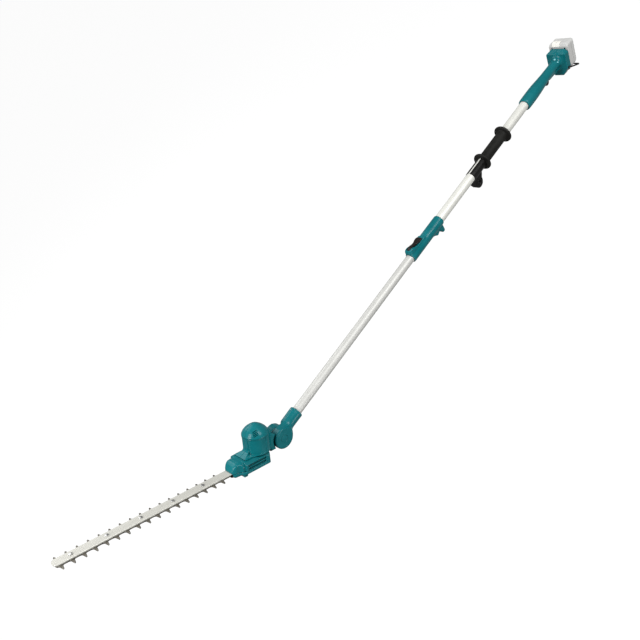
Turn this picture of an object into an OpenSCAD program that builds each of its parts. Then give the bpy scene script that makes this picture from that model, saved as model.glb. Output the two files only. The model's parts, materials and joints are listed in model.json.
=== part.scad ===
// Cordless pole hedge trimmer: telescopic pole, tilting cutter head, battery at the rear.
// Pole axis runs along X, blade to +X, motor side to +Z, left to +Y.
// Origin: centre of the strap eye.

/* [Pole] */
// Outer diameter of the sliding front tube
lower_tube_d = 28; // [26:0.5:28]
// Outer diameter of the fixed rear tube
upper_tube_d = 31.4; // [31.4:0.1:31.6]
// Wall of both tubes
tube_wall = 1.5; // [1.2:0.1:1.5]
// Length of front tube showing between head socket and coupling
tube_show = 597.5; // [450:0.5:620]

/* [Cutter] */
// Angle of the blade above the line of the pole as built
tilt = 32.6; // [0:0.2:45]
// Distance from one blade tooth to the next
tooth_pitch = 27.5; // [26:0.5:28]
// Number of teeth on each side of the blade
teeth = 17; // [12:1:17]
// Height from the blade centre line to the tooth tips
tooth_reach = 27; // [24:0.5:30]
// Throw of each eccentric, half the blade stroke
throw = 6.5; // [5:0.5:6.5]
// Width of the guide bar
bar_w = 27; // [24:1:28]

/* [Drive] */
// Gear module
gear_m = 1.25; // [1.25:0.05:1.25]
// Teeth on the motor pinion
pinion_z = 10; // [10:1:10]
// Teeth on the drive gear
gear_z = 42; // [42:1:42]

/* [Grip] */
// Radius of the hand guard flanges
flange_r = 31; // [26:0.5:32]
// Radius of the strap eye hole
eye_r = 6.5; // [5:0.5:8]

/* [Battery] */
// Width of the battery pack
pack_w = 74; // [72:1:75]

/* [Hidden] */
$fn = 64;
gap = 0.05;                    // clearance round a tube
pivot_x = 1070;                // strap eye to tilt axis, along the pole
pole_z = 42;                   // strap eye to pole axis
seat_lean = 7;                 // rearward lean of the battery seat
lower_r = lower_tube_d/2;
upper_r = upper_tube_d/2;
// pole frame: x of faces
socket_rear = -85.5;
coupling_front = -683;
coupling_rear = -850;
lower_rear = socket_rear-tube_show-232;
// head frame: axes as [x, y], heights in z
pivot = [0, 0];
motor_x = 77;
gear_x = motor_x + gear_m*(pinion_z+gear_z)/2;
motor_at = [motor_x, 0];
gear_at = [gear_x, 0];
bar_bottom = -36.4;
bar_top = -32.2;
upper_blade_z = [-38.9, -36.6];   // [bottom, top]
lower_blade_z = [-41.3, -39.0];
bar_tip = 662;
rear_bolt_x = 146;
screw_x = [for (i = [0:5]) 168+90*i];

// ---- frames ----
// pole frame: origin on the tilt axis
module on_pole() translate([pivot_x, 0, pole_z]) children();
// head frame: the pole frame tilted with the cutter
module on_head() on_pole() rotate([0, -tilt, 0]) children();
// battery seat frame: battery on the -X side
module on_seat() on_pole() translate([-1650, 0, -6]) rotate([0, -seat_lean, 0]) children();

// ---- helpers ----
// rods along each axis; `at` is [x, z] for rod_y and [x, y] for rod_z
module rod_x(x0, x1, r) translate([x0, 0, 0]) rotate([0, 90, 0]) cylinder(h = x1-x0, r = r);
module rod_y(at, y0, y1, r)
  translate([at[0], y1, at[1]]) rotate([90, 0, 0]) cylinder(h = y1-y0, r = r);
module rod_z(at, z0, z1, r) translate([at[0], at[1], z0]) cylinder(h = z1-z0, r = r);
module box(x0, x1, y0, y1, z0, z1) translate([x0, y0, z0]) cube([x1-x0, y1-y0, z1-z0]);
// plates: an outline in the named plane, thick along the third axis
module plate_xz(points, y0, y1)
  translate([0, y1, 0]) rotate([90, 0, 0]) linear_extrude(height = y1-y0) polygon(points);
module plate_xy(points, z0, z1)
  translate([0, 0, z0]) linear_extrude(height = z1-z0) polygon(points);
module plate_yz(points, x0, x1)
  translate([x0, 0, 0]) rotate([90, 0, 90]) linear_extrude(height = x1-x0) polygon(points);
// profile [[x, r], ...] turned about the X axis
module turned_x(points)
  rotate([0, 90, 0]) rotate_extrude() polygon([for (p = points) [p[1], p[0]]]);
// closes an outline given on the -Y side with its mirror image
function mirrored(points) =
  concat(points, [for (i = [len(points)-1:-1:0]) [points[i][0], -points[i][1]]]);
module turn_about(x, angle)
  translate([x, 0, 0]) rotate([0, 0, angle]) translate([-x, 0, 0]) children();
module left_half() intersection() {
  children();
  box(-3000, 3000, 0, 400, -500, 500);
}
module right_half() intersection() {
  children();
  box(-3000, 3000, -400, 0, -500, 500);
}
// round wire coiled up the Z axis
module coil(coil_r, wire_r, pitch, turns)
  linear_extrude(height = turns*pitch, twist = -360*turns, slices = 18*turns,
      convexity = 6, $fn = 4)
    polygon([for (t = [0:36:324])
      let (r = coil_r+wire_r*cos(t), a = wire_r*sin(t)/pitch*360) [r*cos(a), r*sin(a)]]);
// shell screw along Y at [x, z], hex recess in the head on the right
module shell_screw(at) translate([at[0], -1.55, at[1]]) rotate([90, 0, 0]) {
  translate([0, 0, -11.5]) cylinder(h = 23, r = 2);
  translate([0, 0, 11.5]) difference() {
    cylinder(h = 2.6, r = 3.5);
    translate([0, 0, 1]) cylinder(h = 3, r = 1.4, $fn = 6);
  }
}

// ---- tubes ----
module upper_tube() on_pole() color("silver") difference() {
  rod_x(-1450, -712.5, upper_r);
  rod_x(-1451, -712, upper_r-tube_wall);
}
module lower_tube() on_pole() color("silver") difference() {
  rod_x(lower_rear, -36, lower_r);
  rod_x(lower_rear-1, -35, lower_r-tube_wall);
}
module guide_bush() on_pole() color("dimgray") difference() {
  union() {
    rod_x(lower_rear-10, lower_rear-0.1, upper_r-tube_wall-0.06);
    rod_x(lower_rear-1, lower_rear+10, lower_r-tube_wall-0.03);
  }
  rod_x(-2000, 0, lower_r-tube_wall-1.6);
}

// ---- rear handle ----
// [x, r], from the front end back
handle_profile = [[-1405, 0], [-1405, 20], [-1408, 21.4], [-1416, 21.8], [-1440, 22],
  [-1470, 21.8], [-1500, 20.6], [-1540, 17.8], [-1580, 16.4], [-1606, 16], [-1626, 18.5],
  [-1642, 24], [-1642, 0]];
handle_bore = [[-1455.5, 0], [-1455.5, 17.6], [-1480, 17.4], [-1508, 15.6], [-1560, 13.6],
  [-1606, 13.4], [-1645, 15], [-1645, 0]];
// [x, z] ribs under the handle, ahead of and behind the trigger
front_rib = [[-1440, -8], [-1450, -20], [-1500, -21.4], [-1531, -19.4], [-1531, -8]];
rear_rib = [[-1561, -8], [-1561, -19.5], [-1567, -21], [-1590, -22.5], [-1644, -27], [-1644, -8]];
// [y, z] outline of the battery seat
seat_outline = [[-37, -22], [-17, -48.5], [17, -48.5], [37, -22],
  [37, 31], [25, 41], [-25, 41], [-37, 31]];
seat_screw_z = [-38, 22.5];
// [x, z] places
handle_bosses = [[-1468, 0], [-1512, 0], [-1604, -2]];
trigger_axis = [-1530, -10];
lock_off_at = [-1588, -3];
hook_axis = [-1645, -27];
// [x, angle about the pole]
power_at = [-1626, -15];
lens_at = [-1624, -58];

module seat_slab(x0, x1, inset = 0)
  plate_yz([for (p = seat_outline) [p[0]-inset*sign(p[0]), p[1]-inset*sign(p[1])]], x0, x1);
module handle_barrel() on_pole() difference() {
  union() {
    turned_x(handle_profile);
    plate_xz(front_rib, -8, 8);
    plate_xz(rear_rib, -8, 8);
  }
  turned_x(handle_bore);
}
module battery_seat() difference() {
  on_seat() seat_slab(-13.9, 10);
  on_seat() {
    seat_slab(-15, -7, 3.2);
    intersection() {
      seat_slab(-11, 7, 3.2);
      box(-12, 8, -60, 60, -60, 27);
    }
    plate_xz([[11, 30.33], [11, 60], [-5, 60], [-5, 41]], -60, 60);
  }
  on_pole() rod_x(-1665, -1630, 14);
}
module handle_solid() {
  handle_barrel();
  battery_seat();
  on_pole() intersection() {
    turned_x(handle_profile);
    for (at = handle_bosses) rod_y(at, -21, 21, 4.6);
  }
  on_seat() for (z = seat_screw_z) {
    rod_y([0, z], -15, 15, 4.2);
    box(2, 8, -14, 14, z-1.6, z+1.6);
  }
}
module handle_cut() {
  on_pole() {
    rod_x(-1456, -1400, upper_r+gap);
    box(-1566, -1526, -7, 7, -60, -8);
    rod_y(trigger_axis, -11.4, 11.4, 1.52);
    for (at = handle_bosses) {
      rod_y(at, -40, 12, 2.05);
      rod_y(at, -40, -13, 3.6);
    }
    rod_y(lock_off_at, -30, -4, 5.1);
    rotate([power_at[1], 0, 0]) rod_z([power_at[0], 0], 10, 40, 3.6);
    rotate([lens_at[1], 0, 0]) rod_z([lens_at[0], 0], 10, 40, 2.6);
    for (y = [-35, 35]) rod_y(hook_axis, y-7, y+7, 2.8);
  }
  on_seat() for (z = seat_screw_z) {
    rod_y([0, z], -48, 12, 2.05);
    rod_y([0, z], -73, -13, 3.6);
  }
}
module handle_body() difference() {
  handle_solid();
  handle_cut();
}
module handle_shell_left() color("teal") left_half() handle_body();
module handle_shell_right() color("teal") right_half() handle_body();
module handle_screws() color("gray") {
  on_pole() for (at = handle_bosses) shell_screw(at);
  on_seat() for (z = seat_screw_z) shell_screw([0, z]);
}
module switch_body() on_pole() color("black") {
  box(-1569, -1527, -8.5, 8.5, -2.5, 3.5);
  box(-1567, -1529, -7, 7, 3.5, 10);
}
module control_board() on_pole() color("darkgreen") {
  box(-1504, -1476, -10, 10, -7.2, -5.6);
  box(-1502, -1494, -4, 4, -5.6, -2);
  box(-1488, -1481, -6, 2, -5.6, -2);
}
// plate in the seat with two T rails and two thin blades towards the battery
module terminal_block() on_seat() color("black") {
  seat_slab(-14, -10, 3.4);
  for (y = [-24, 24]) {
    box(-20, -13.9, y-2, y+2, -40, 40);
    box(-20, -18, y-3.5, y+3.5, -40, 40);
  }
  for (y = [-9, 9]) box(-20, -13.9, y-0.5, y+0.5, -10, 20);
}
module indicator_lens() on_pole() rotate([lens_at[1], 0, 0]) color("lightcyan")
  rod_z([lens_at[0], 0], 14.5, 19.7, 2.5);
module power_button() on_pole() rotate([power_at[1], 0, 0]) color("lightcyan") {
  rod_z([power_at[0], 0], 16.9, 20.8, 3.5);
  rod_z([power_at[0], 0], 14.8, 17, 2.2);
}
module lock_off_button() on_pole() color("black") {
  rod_y(lock_off_at, -18.4, -9, 5);
  rod_y(lock_off_at, -9.1, -6, 3);
}
// [x, z]
trigger_outline = [[-1527.5, -8.5], [-1527.5, -16], [-1533, -20.5], [-1542, -26.5],
  [-1549, -29.2], [-1555, -28.3], [-1560, -24], [-1563, -16], [-1563.5, -8.5]];
module trigger() on_pole() color("black") difference() {
  plate_xz(trigger_outline, -6.4, 6.4);
  rod_y(trigger_axis, -9, 9, 1.55);
  box(-1559, -1537, -4.6, 4.6, -18, -8);
}
module trigger_pin() on_pole() color("silver") rod_y(trigger_axis, -11.3, 11.3, 1.5);

// ---- front grip and strap hanger ----
rim_r = 4.5;   // rounded rim of a flange
module flange(x) translate([x, 0, 0]) rotate([0, 90, 0]) {
  translate([0, 0, -rim_r]) cylinder(h = 2*rim_r, r = flange_r-rim_r);
  rotate_extrude() translate([flange_r-rim_r, 0]) circle(r = rim_r);
}
module grip_sleeve() on_pole() color([0.12, 0.12, 0.11]) difference() {
  union() {
    rod_x(-1264, -1119, 18.6);
    flange(-1123.2);
    flange(-1258);
  }
  rod_x(-1300, -1100, upper_r+0.02);
}
// [x, z] web between the tube clamp and the strap eye
hanger_web = [[-1100, -12], [-1098, -20], [-1090, -34], [-1087, -46], [-1056, -50],
  [-1044, -42], [-1036, -26], [-1034, -14]];
module hanger_clamp() color("black") difference() {
  union() {
    on_pole() rod_x(-1118.4, -1046, upper_r+1.9);
    on_pole() plate_xz(hanger_web, -6, 6);
    rod_y([0, 0], -6, 6, 18.5);
  }
  on_pole() {
    rod_x(-1130, -1020, upper_r+gap);
    box(-1130, -1020, -3.4, 3.4, 0, 40);
  }
  rod_y([0, 0], -10, 10, eye_r);
}

// ---- telescopic coupling ----
// outlines and places in [x, z]
fin_outline = [[-850, -8], [-852, -20], [-853, -36], [-849, -42.5], [-842, -43.5],
  [-837, -40.5], [-838.5, -35], [-835, -30.5], [-828, -28.5], [-822, -29], [-818, -32],
  [-813, -31.6], [-806, -26], [-794, -19], [-794, -8]];
lug_outline = [[-711, 8], [-710, 19], [-705, 26], [-696, 29.6], [-687, 29], [-681, 21], [-682, 8]];
web_outline = [[-685.2, 8], [-684.6, 22.5], [-682.6, 22.5], [-681, 18], [-682, 8]];
fin_screws = [[-846, -33], [-813, -24]];
lever_axis = [-693, 23.5];
module coupling_solid() {
  rod_x(coupling_rear, coupling_front, upper_r+2.6);
  plate_xz(fin_outline, -7, 7);
  for (y = [-12, 8.6]) plate_xz(lug_outline, y, y+3.4);
  plate_xz(web_outline, -12, 12);
}
module coupling_cut() {
  rod_x(coupling_rear-10, -712, upper_r+gap);
  rod_x(-712.1, -684.8, 14.92);
  rod_x(-687, -660, 14.3);
  rod_y(lever_axis, -13, 13, 2.02);
  box(-699.2, -688.8, -6.2, 6.2, 10, 20);
  for (at = fin_screws) {
    rod_y(at, -20, 5, 1.55);
    rod_y(at, -20, -5.4, 2.9);
  }
}
module coupling_body() difference() {
  coupling_solid();
  coupling_cut();
}
module coupling_shell_left() on_pole() color("teal") left_half() coupling_body();
module coupling_shell_right() on_pole() color("teal") right_half() coupling_body();
module coupling_screws() on_pole() color("gray") for (at = fin_screws) {
  rod_y(at, -5.4, 4.8, 1.5);
  rod_y(at, -6.8, -5.4, 2.8);
}
module clamp_bush() on_pole() color("dimgray") difference() {
  rod_x(-711.5, -687.2, 14.88);
  rod_x(-712, -686, lower_r+0.06);
  box(-713, -684, -8, 8, 5, 20);
}
module clamp_pad() on_pole() color("darkgray") difference() {
  box(-699, -689, -6, 6, lower_r-0.8, 16.9);
  rod_x(-705, -685, lower_r+0.08);
}
module lever_pin() on_pole() color("silver") rod_y(lever_axis, -12, 12, 2);
lever_outline = [[-693, 17.7], [-688.8, 19.4], [-687.2, 23.5], [-689, 28], [-697, 30.5],
  [-706, 30], [-716, 26.6], [-728, 23.6], [-743, 24], [-749, 23], [-751, 21], [-748, 19.2],
  [-702, 19.2], [-697, 17.9]];
// [x, y] plan of the wide end
lever_plan = mirrored([[-722, -7.5], [-734, -11.4], [-745, -11.4], [-753, -7]]);
module lock_lever() on_pole() color([0.13, 0.11, 0.11]) difference() {
  union() {
    plate_xz(lever_outline, -7.6, 7.6);
    intersection() {
      plate_xz(lever_outline, -12, 12);
      plate_xy(lever_plan, 10, 40);
    }
  }
  rod_y(lever_axis, -13, 13, 2.05);
  rod_x(-770, -700, 18.6);
}

// ---- cords ----
module cord_coil() on_pole() color("black") translate([-1392, 0, 0]) rotate([0, 90, 0])
  coil(coil_r = 8, wire_r = 2.2, pitch = 18, turns = 24);
module cord_lower() on_pole() color("black") rod_x(-940, -40, 3.2);

// ---- head socket and tilt joint ----
knuckle_r = 31.5;
// [x, r]
socket_profile = [[socket_rear, 0], [socket_rear, 18.8], [-84, 19.6], [-80, 19.6],
  [-40, 19], [-34, 18.4], [-34, 0]];
socket_screw_at = [for (x = [-50, -78], z = [16.6, -16.6]) [x, z]];
module socket_solid() difference() {
  union() {
    turned_x(socket_profile);
    intersection() {
      turned_x([[-36, 0], [-36, 18.6], [0, 16], [0, 0]]);
      box(-36, 0, 1, 30, -30, 30);
    }
    rod_y(pivot, 1, 27, knuckle_r);
  }
  rod_x(-93, -35.9, lower_r+gap);
  rod_x(-36, -31.5, 8);
}
module socket_cut() {
  rod_y(pivot, -1, 20, 4.06);
  rod_y(pivot, 19.9, 30, 9);
  rod_y(pivot, 25.9, 30, 11.05);
  // groove for the detent ring
  difference() {
    rod_y(pivot, 0, 3.6, 24.2);
    rod_y(pivot, -1, 5, 15.8);
  }
  for (at = socket_screw_at) {
    rod_y(at, -30, 6, 1.05);
    rod_y(at, -30, -5.5, 2.2);
  }
}
module socket_body() difference() {
  socket_solid();
  socket_cut();
}
module socket_shell_left() on_pole() color("teal") left_half() socket_body();
module socket_shell_right() on_pole() color("teal") right_half() socket_body();
module socket_screws() on_pole() color("gray") for (at = socket_screw_at) {
  rod_y(at, -5.5, 5.5, 1);
  rod_y(at, -7, -5.5, 2);
}
module pivot_bolt() on_pole() color("gray") {
  rod_y(pivot, -12.6, 20, 4);
  translate([0, 24.6, 0]) rotate([90, 0, 0]) cylinder(h = 4.6, r = 7.4, $fn = 6);
}
module pivot_nut() on_head() color("gray") difference() {
  translate([0, -8.1, 0]) rotate([90, 0, 0]) cylinder(h = 4.4, r = 7.4, $fn = 6);
  rod_y(pivot, -14, 0, 4.03);
}
module pivot_cap() on_pole() color("teal") {
  rod_y(pivot, 26, 27.4, 11);
  rod_y(pivot, 24.8, 26.1, 6);
}
module thrust_washer() on_pole() color("black") difference() {
  rod_y(pivot, -0.9, 0.9, 28);
  rod_y(pivot, -2, 2, 7);
}
module detent_ring() on_pole() color("gray") difference() {
  rod_y(pivot, 1.1, 3.5, 24);
  rod_y(pivot, 0, 5, 16);
  for (a = [0:15:345]) rotate([0, a, 0]) box(19.5, 26, 0, 2.2, -1.1, 1.1);
}
module tilt_button() on_head() color("black") difference() {
  union() {
    rod_y(pivot, -30.5, -24, 11.7);
    rod_y(pivot, -24.1, -21.5, 7);
  }
  for (x = [-6, -2, 2, 6]) box(x-0.6, x+0.6, -31, -29.8, -20, 20);
}
module tilt_spring() on_head() color("silver") translate([0, -8.6, 0]) rotate([90, 0, 0])
  coil(coil_r = 9.8, wire_r = 0.8, pitch = 3, turns = 4);

// ---- cutter head ----
// outlines in [x, z]
neck = [[0, 27], [20, 22], [46, 30], [46, -8], [56, -8], [56, -26], [46, -32], [36, -34.5],
  [20, -33], [0, -27]];
neck_left = [[27, 22], [46, 30], [46, -8], [56, -8], [56, -22], [27, -22]];
nose = [[70, -8], [70, 1], [112, 3], [124, -3], [136, -8]];
nose_room = [[70, -9], [70, -1.6], [111, 0.4], [122, -5.4], [128, -9]];
// [y, z] cross-section of the nose
nose_section = [[-28, -8.1], [-22, -6.5], [-12, 4], [12, 4], [22, -6.5], [28, -8.1]];
// [r, z] round the motor axis
dome = [[0, -8], [38, -8], [38, 41.5], [37, 46.5], [34, 52], [30, 56.3], [26, 60],
  [20, 64.5], [13, 69], [6, 72.5], [0, 74]];
dome_room = [[0, -4.9], [34.6, -4.9], [34.6, 40], [33.6, 45], [31, 49.8], [27.4, 53.6],
  [0, 53.6]];
head_bosses = [[51.5, 31], [102.5, 31], [44, 16]];
module head_solid() {
  translate([motor_x, 0, 0]) rotate_extrude() polygon(dome);
  plate_xz(neck, -27, -1);
  rod_y(pivot, -27, -1, 27.5);
  difference() {
    plate_xz(neck_left, -1.1, 22);
    rod_y(pivot, -1, 30, knuckle_r+1.7);
  }
  intersection() {
    plate_xz(nose, -28, 28);
    plate_yz(nose_section, 0, 200);
  }
}
module head_cut() {
  translate([motor_x, 0, 0]) rotate_extrude() polygon(dome_room);
  rod_z(motor_at, -9, 0, 20.4);
  plate_xz(nose_room, -11, 11);
  rod_y(pivot, -40, -8, 12);
  rod_y(pivot, -9, 0, 4.2);
  // chamber in the neck
  box(14, 42, -23, -5, -20, 18);
  // slots in the dome wall, four on each side
  for (angle = [-49, 49], k = [0:3]) translate([motor_x, 0, 0]) rotate([0, 0, angle])
    box(22, 60, -7, 7, 42+k*3.6, 43.8+k*3.6);
}
module head_body() difference() {
  union() {
    difference() {
      head_solid();
      head_cut();
    }
    intersection() {
      for (at = head_bosses) rod_y(at, -37, 37, 4.8);
      head_solid();
    }
  }
  for (at = head_bosses) {
    rod_y(at, -60, 12, 2.05);
    rod_y(at, -60, -13, 3.7);
  }
}
module head_shell_left() on_head() color("teal") left_half() head_body();
module head_shell_right() on_head() color("teal") right_half() head_body();
module head_screws() on_head() color("gray") for (at = head_bosses) shell_screw(at);

// ---- gear case ----
case_joint = -34.05;   // top of the under cover
// plans in [x, y]
case_rear = [[57, -28], [61, -36], [139, -36], [148, -32], [153, -24]];
case_plan = mirrored(concat(case_rear, [[166, -22.4], [174, -18.5], [180, -12]]));
case_room = mirrored([[63.5, -28.5], [68, -33], [136, -33], [145, -26], [151, -20]]);
case_posts = [[71, 28.5], [71, -28.5], [142, 25.2], [142, -25.2]];
case_side = [[55, -34], [55, -8.05], [152, -8.05], [166, -10.5], [176, -19], [181, -34]];  // [x, z]
// [y, z] cross-sections: wide at the rear, narrow through to the front
case_wide = [[-37, -34], [-37, -17], [-26, -8.05], [26, -8.05], [37, -17], [37, -34]];
case_narrow = [[-31, -34], [-31, -20], [-26, -13], [-13, -8.05],
  [13, -8.05], [26, -13], [31, -20], [31, -34]];
module bar_slot(z0, z1) box(140, 200, -bar_w/2-0.3, bar_w/2+0.3, z0, z1);
// room for the guide bar with the blades below it
module bar_channel() {
  box(140, 200, -12.5, 12.5, -43.2, -30);
  bar_slot(-36.5, -30);
}
module case_block() intersection() {
  plate_xy(case_plan, -34, -8.05);
  plate_xz(case_side, -60, 60);
  union() {
    plate_yz(case_wide, 0, 142);
    plate_yz(case_narrow, 0, 190);
  }
}
module gear_case() on_head() color("teal") difference() {
  union() {
    difference() {
      case_block();
      plate_xy(case_room, -40, -22);
      // stepped roof: [share of the width, top z]
      for (step = [[1, -15.5], [0.8, -12]]) intersection() {
        plate_xy([for (p = case_room) [p[0], p[1]*step[0]]], -40, step[1]);
        box(0, 137, -60, 60, -60, 0);
      }
      // long slots in both sides
      for (y = [-50, 28], z = [-30.5, -24]) box(80, 132, y, y+22, z, z+3);
    }
    rod_z(gear_at, -19, -11.5, 14);
    for (at = case_posts) rod_z(at, -34, -11.9, 4.4);
  }
  rod_z(gear_at, -19.1, -12, 11.03);
  rod_z(motor_at, -40, 0, 8);
  bar_slot(-40, bar_top);
  for (x = [rear_bolt_x, screw_x[0]]) rod_z([x, 0], -40, -24, 2.55);
  for (at = case_posts) rod_z(at, -40, -16, 1.55);
}
// plans of the under cover: outside, raised panel, front step, room inside
cover_plan = mirrored(concat(case_rear, [[166, -22], [172, -18.6], [173, -14.6], [162, -14.6]]));
panel_plan = mirrored([[70, -21], [78, -25.5], [136, -25.5], [144, -20], [162, -17]]);
step_plan = mirrored([[146, -22], [164, -21], [171, -18], [171, -14.6], [162, -14.6]]);
cover_room = mirrored([[73, -20.5], [80, -22.8], [134, -22.8], [142, -20.5], [148.5, -20.5]]);
module under_cover() on_head() color("teal") difference() {
  union() {
    difference() {
      plate_xy(cover_plan, -43, case_joint);
      plate_xy([for (p = case_room) [min(p[0], 152), p[1]]], -40.2, -30);
    }
    plate_xy(panel_plan, -45.6, -40.1);
    box(134, 147, -30, 30, -52.5, -42);
    plate_xy(step_plan, -46.5, -42.9);
    rod_z(gear_at, -49.6, -45.5, 10.5);
    for (at = case_posts) rod_z(at, -43, case_joint, 4.4);
  }
  plate_xy(cover_room, -43.2, -30);
  rod_z(gear_at, -48.3, -40, 8.03);
  bar_channel();
  for (at = case_posts) {
    rod_z(at, -60, -30, 1.55);
    rod_z(at, -60, -40, 3);
  }
}
module case_screws() on_head() color("gray") for (at = case_posts) {
  rod_z(at, -40, -17, 1.5);
  rod_z(at, -42.2, -40, 2.9);
}
module nose_guard() on_head() color([0.1, 0.1, 0.1]) difference() {
  plate_xy(mirrored([[162.1, -14.5], [173, -14.5], [177, -11]]), -45.6, -36.55);
  bar_channel();
  rod_z([screw_x[0], 0], -60, -30, 6.2);
}

// ---- motor ----
module motor_can() on_head() color("dimgray") difference() {
  union() {
    rod_z(motor_at, -7.9, 42, 19.5);
    rod_z(motor_at, 41.9, 45, 6);
  }
  rod_z(motor_at, -5.9, 40, 18);
  rod_z(motor_at, -9, 50, 2.56);
  for (y = [-30, 10]) box(motor_x-4, motor_x+4, y, y+20, 30, 36);
}
module rotor_core() on_head() color([0.45, 0.32, 0.2]) difference() {
  rod_z(motor_at, 0, 28, 15.5);
  for (i = [0:5]) turn_about(motor_x, i*60) box(motor_x+9, motor_x+17, -1.4, 1.4, -1, 29);
  rod_z(motor_at, -5, 40, 2.52);
}
module cooling_fan() on_head() color("black") {
  difference() {
    union() {
      rod_z(motor_at, 46, 47.4, 20);
      rod_z(motor_at, 46, 47.9, 5);
    }
    rod_z(motor_at, 40, 50, 2.52);
  }
  // vanes, each skewed 25 degrees from radial
  for (i = [0:11]) turn_about(motor_x, i*30) turn_about(motor_x+12, 25)
    box(motor_x+7, motor_x+18, -0.6, 0.6, 43.2, 46.05);
}

// ---- gears and crank ----
pressure_angle = 25;
addendum = 1.05;
tooth_thinning = 0.09;   // taken off each flank, at the pitch circle
shaft_bore = 4.01;
function involute(a) = tan(a)*180/PI - a;
// half the angle a tooth spans at radius r
function half_tooth(r, count) =
  let (pitch_r = gear_m*count/2, base_r = pitch_r*cos(pressure_angle),
    a = r > base_r ? acos(base_r/r) : 0)
  90/count - tooth_thinning/pitch_r*180/PI + involute(pressure_angle) - involute(a);
function gear_outline(count, dedendum) =
  let (pitch_r = gear_m*count/2, base_r = pitch_r*cos(pressure_angle),
    tip_r = pitch_r+addendum, root_r = pitch_r-dedendum,
    start_r = max(root_r+0.02, base_r),
    radii = [root_r, start_r, (start_r*2+tip_r)/3, (start_r+tip_r*2)/3, tip_r])
  [for (i = [0:count-1], side = [-1, 1], k = [0:4])
    let (r = radii[side < 0 ? k : 4-k], a = i*360/count + side*half_tooth(r, count))
    [r*cos(a), r*sin(a)]];
// two races with a thinner ring between them
module bearing(z0, z1, outer_r) {
  difference() {
    rod_z(gear_at, z0, z1, outer_r);
    rod_z(gear_at, z0-1, z1+1, outer_r-1.6);
  }
  difference() {
    rod_z(gear_at, z0, z1, shaft_bore+1.5);
    rod_z(gear_at, z0-1, z1+1, shaft_bore);
  }
  difference() {
    rod_z(gear_at, z0+0.6, z1-0.6, outer_r-1.55);
    rod_z(gear_at, z0-1, z1+1, shaft_bore+1.45);
  }
}
module bearing_upper() on_head() color("silver") bearing(-19, -12.05, 11);
module bearing_lower() on_head() color("silver") bearing(-48.2, -44, 8);
module motor_shaft() on_head() color("gray") {
  rod_z(motor_at, -18, 49, 2.5);
  translate([motor_x, 0, -27.5]) rotate([0, 0, 18]) linear_extrude(height = 9.6)
    polygon(gear_outline(pinion_z, 1.45));
}
module drive_gear() on_head() color("darkgray") difference() {
  translate([gear_x, 0, -27]) linear_extrude(height = 7) polygon(gear_outline(gear_z, 1.5));
  rod_z(gear_at, -30, -10, 4.02);
  for (a = [0:60:300]) rod_z([gear_x+15*cos(a), 15*sin(a)], -30, -10, 4);
}
module crankshaft() on_head() color("gray") {
  rod_z(gear_at, -48, -12.4, 4);
  rod_z([gear_x, throw], upper_blade_z[0]+0.1, upper_blade_z[1]-0.1, 7.5);
  rod_z([gear_x, -throw], lower_blade_z[0]+0.1, lower_blade_z[1]-0.1, 7.5);
  rod_z(gear_at, -35.5, -30, 6);
}

// ---- blades ----
first_tooth_x = 647.4;   // tooth nearest the tip
slot_r = 3.3;
// a tooth pair, one on each side of the blade
tooth_outline = mirrored([[-7.5, -10.4], [-4.6, -13.8], [-2.4, 3-tooth_reach],
  [-1.5, -tooth_reach], [1.5, -tooth_reach], [2.4, 3-tooth_reach], [4.6, -13.8], [7.5, -10.4]]);
blade_outline = mirrored([[gear_x-26.5, -14], [gear_x-20, -20], [gear_x+20, -20],
  [gear_x+28, -11], [655, -11], [658, -7]]);
crank_window = mirrored([[gear_x-21, -10], [gear_x-16.5, -14.6], [gear_x+16.5, -14.6],
  [gear_x+21, -10]]);
// slot that lets the blade stroke past a bolt
module stroke_slot(x, margin) {
  reach = throw+margin;
  translate([x-reach, -slot_r]) square([2*reach, 2*slot_r]);
  for (side = [-1, 1]) translate([x+side*reach, 0]) circle(r = slot_r);
}
module blade(z) translate([0, 0, z[0]]) linear_extrude(height = z[1]-z[0]) difference() {
  union() {
    polygon(blade_outline);
    for (k = [0:teeth-1]) translate([first_tooth_x - k*tooth_pitch, 0]) polygon(tooth_outline);
  }
  polygon(crank_window);
  for (x = screw_x) stroke_slot(x, 0.4);
  stroke_slot(rear_bolt_x, 0.6);
}
module blade_upper() on_head() color("lightgray") blade(upper_blade_z);
module blade_lower() on_head() color("lightgray") blade(lower_blade_z);
bar_plan = mirrored([[141, -bar_w/2], [bar_tip-9, -bar_w/2], [bar_tip-3, -bar_w/2+3],
  [bar_tip, -bar_w/2+8]]);
module guide_bar() on_head() color("gainsboro") difference() {
  plate_xy(bar_plan, bar_bottom, bar_top-0.02);
  for (x = concat([rear_bolt_x], screw_x)) rod_z([x, 0], -50, -20, 2.55);
}
module bar_bolts() on_head() color("gray") {
  for (x = screw_x) {
    rod_z([x, 0], -46, bar_top-0.02, 2.5);
    rod_z([x, 0], lower_blade_z[0]-0.1, bar_bottom-0.05, 2.9);
    // the first bolt runs up into the gear case; the others have heads on the bar
    if (x > screw_x[0]) {
      rod_z([x, 0], bar_top, bar_top+1.8, 5);
      rod_z([x, 0], bar_top-0.05, bar_top+0.1, 2.5);
    } else rod_z([x, 0], bar_top-0.1, -25, 2.5);
  }
  rod_z([rear_bolt_x, 0], -41.6, -25, 2.5);
  rod_z([rear_bolt_x, 0], -43.1, -41.5, 4.4);
}
module bar_nuts() on_head() color("gray") for (x = screw_x) difference() {
  union() {
    translate([x, 0, lower_blade_z[0]-4.2]) cylinder(h = 4, r = 5.2, $fn = 6);
    rod_z([x, 0], lower_blade_z[0]-0.7, lower_blade_z[0]-0.2, 5.8);
  }
  rod_z([x, 0], -60, -30, 2.92);
}

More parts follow.
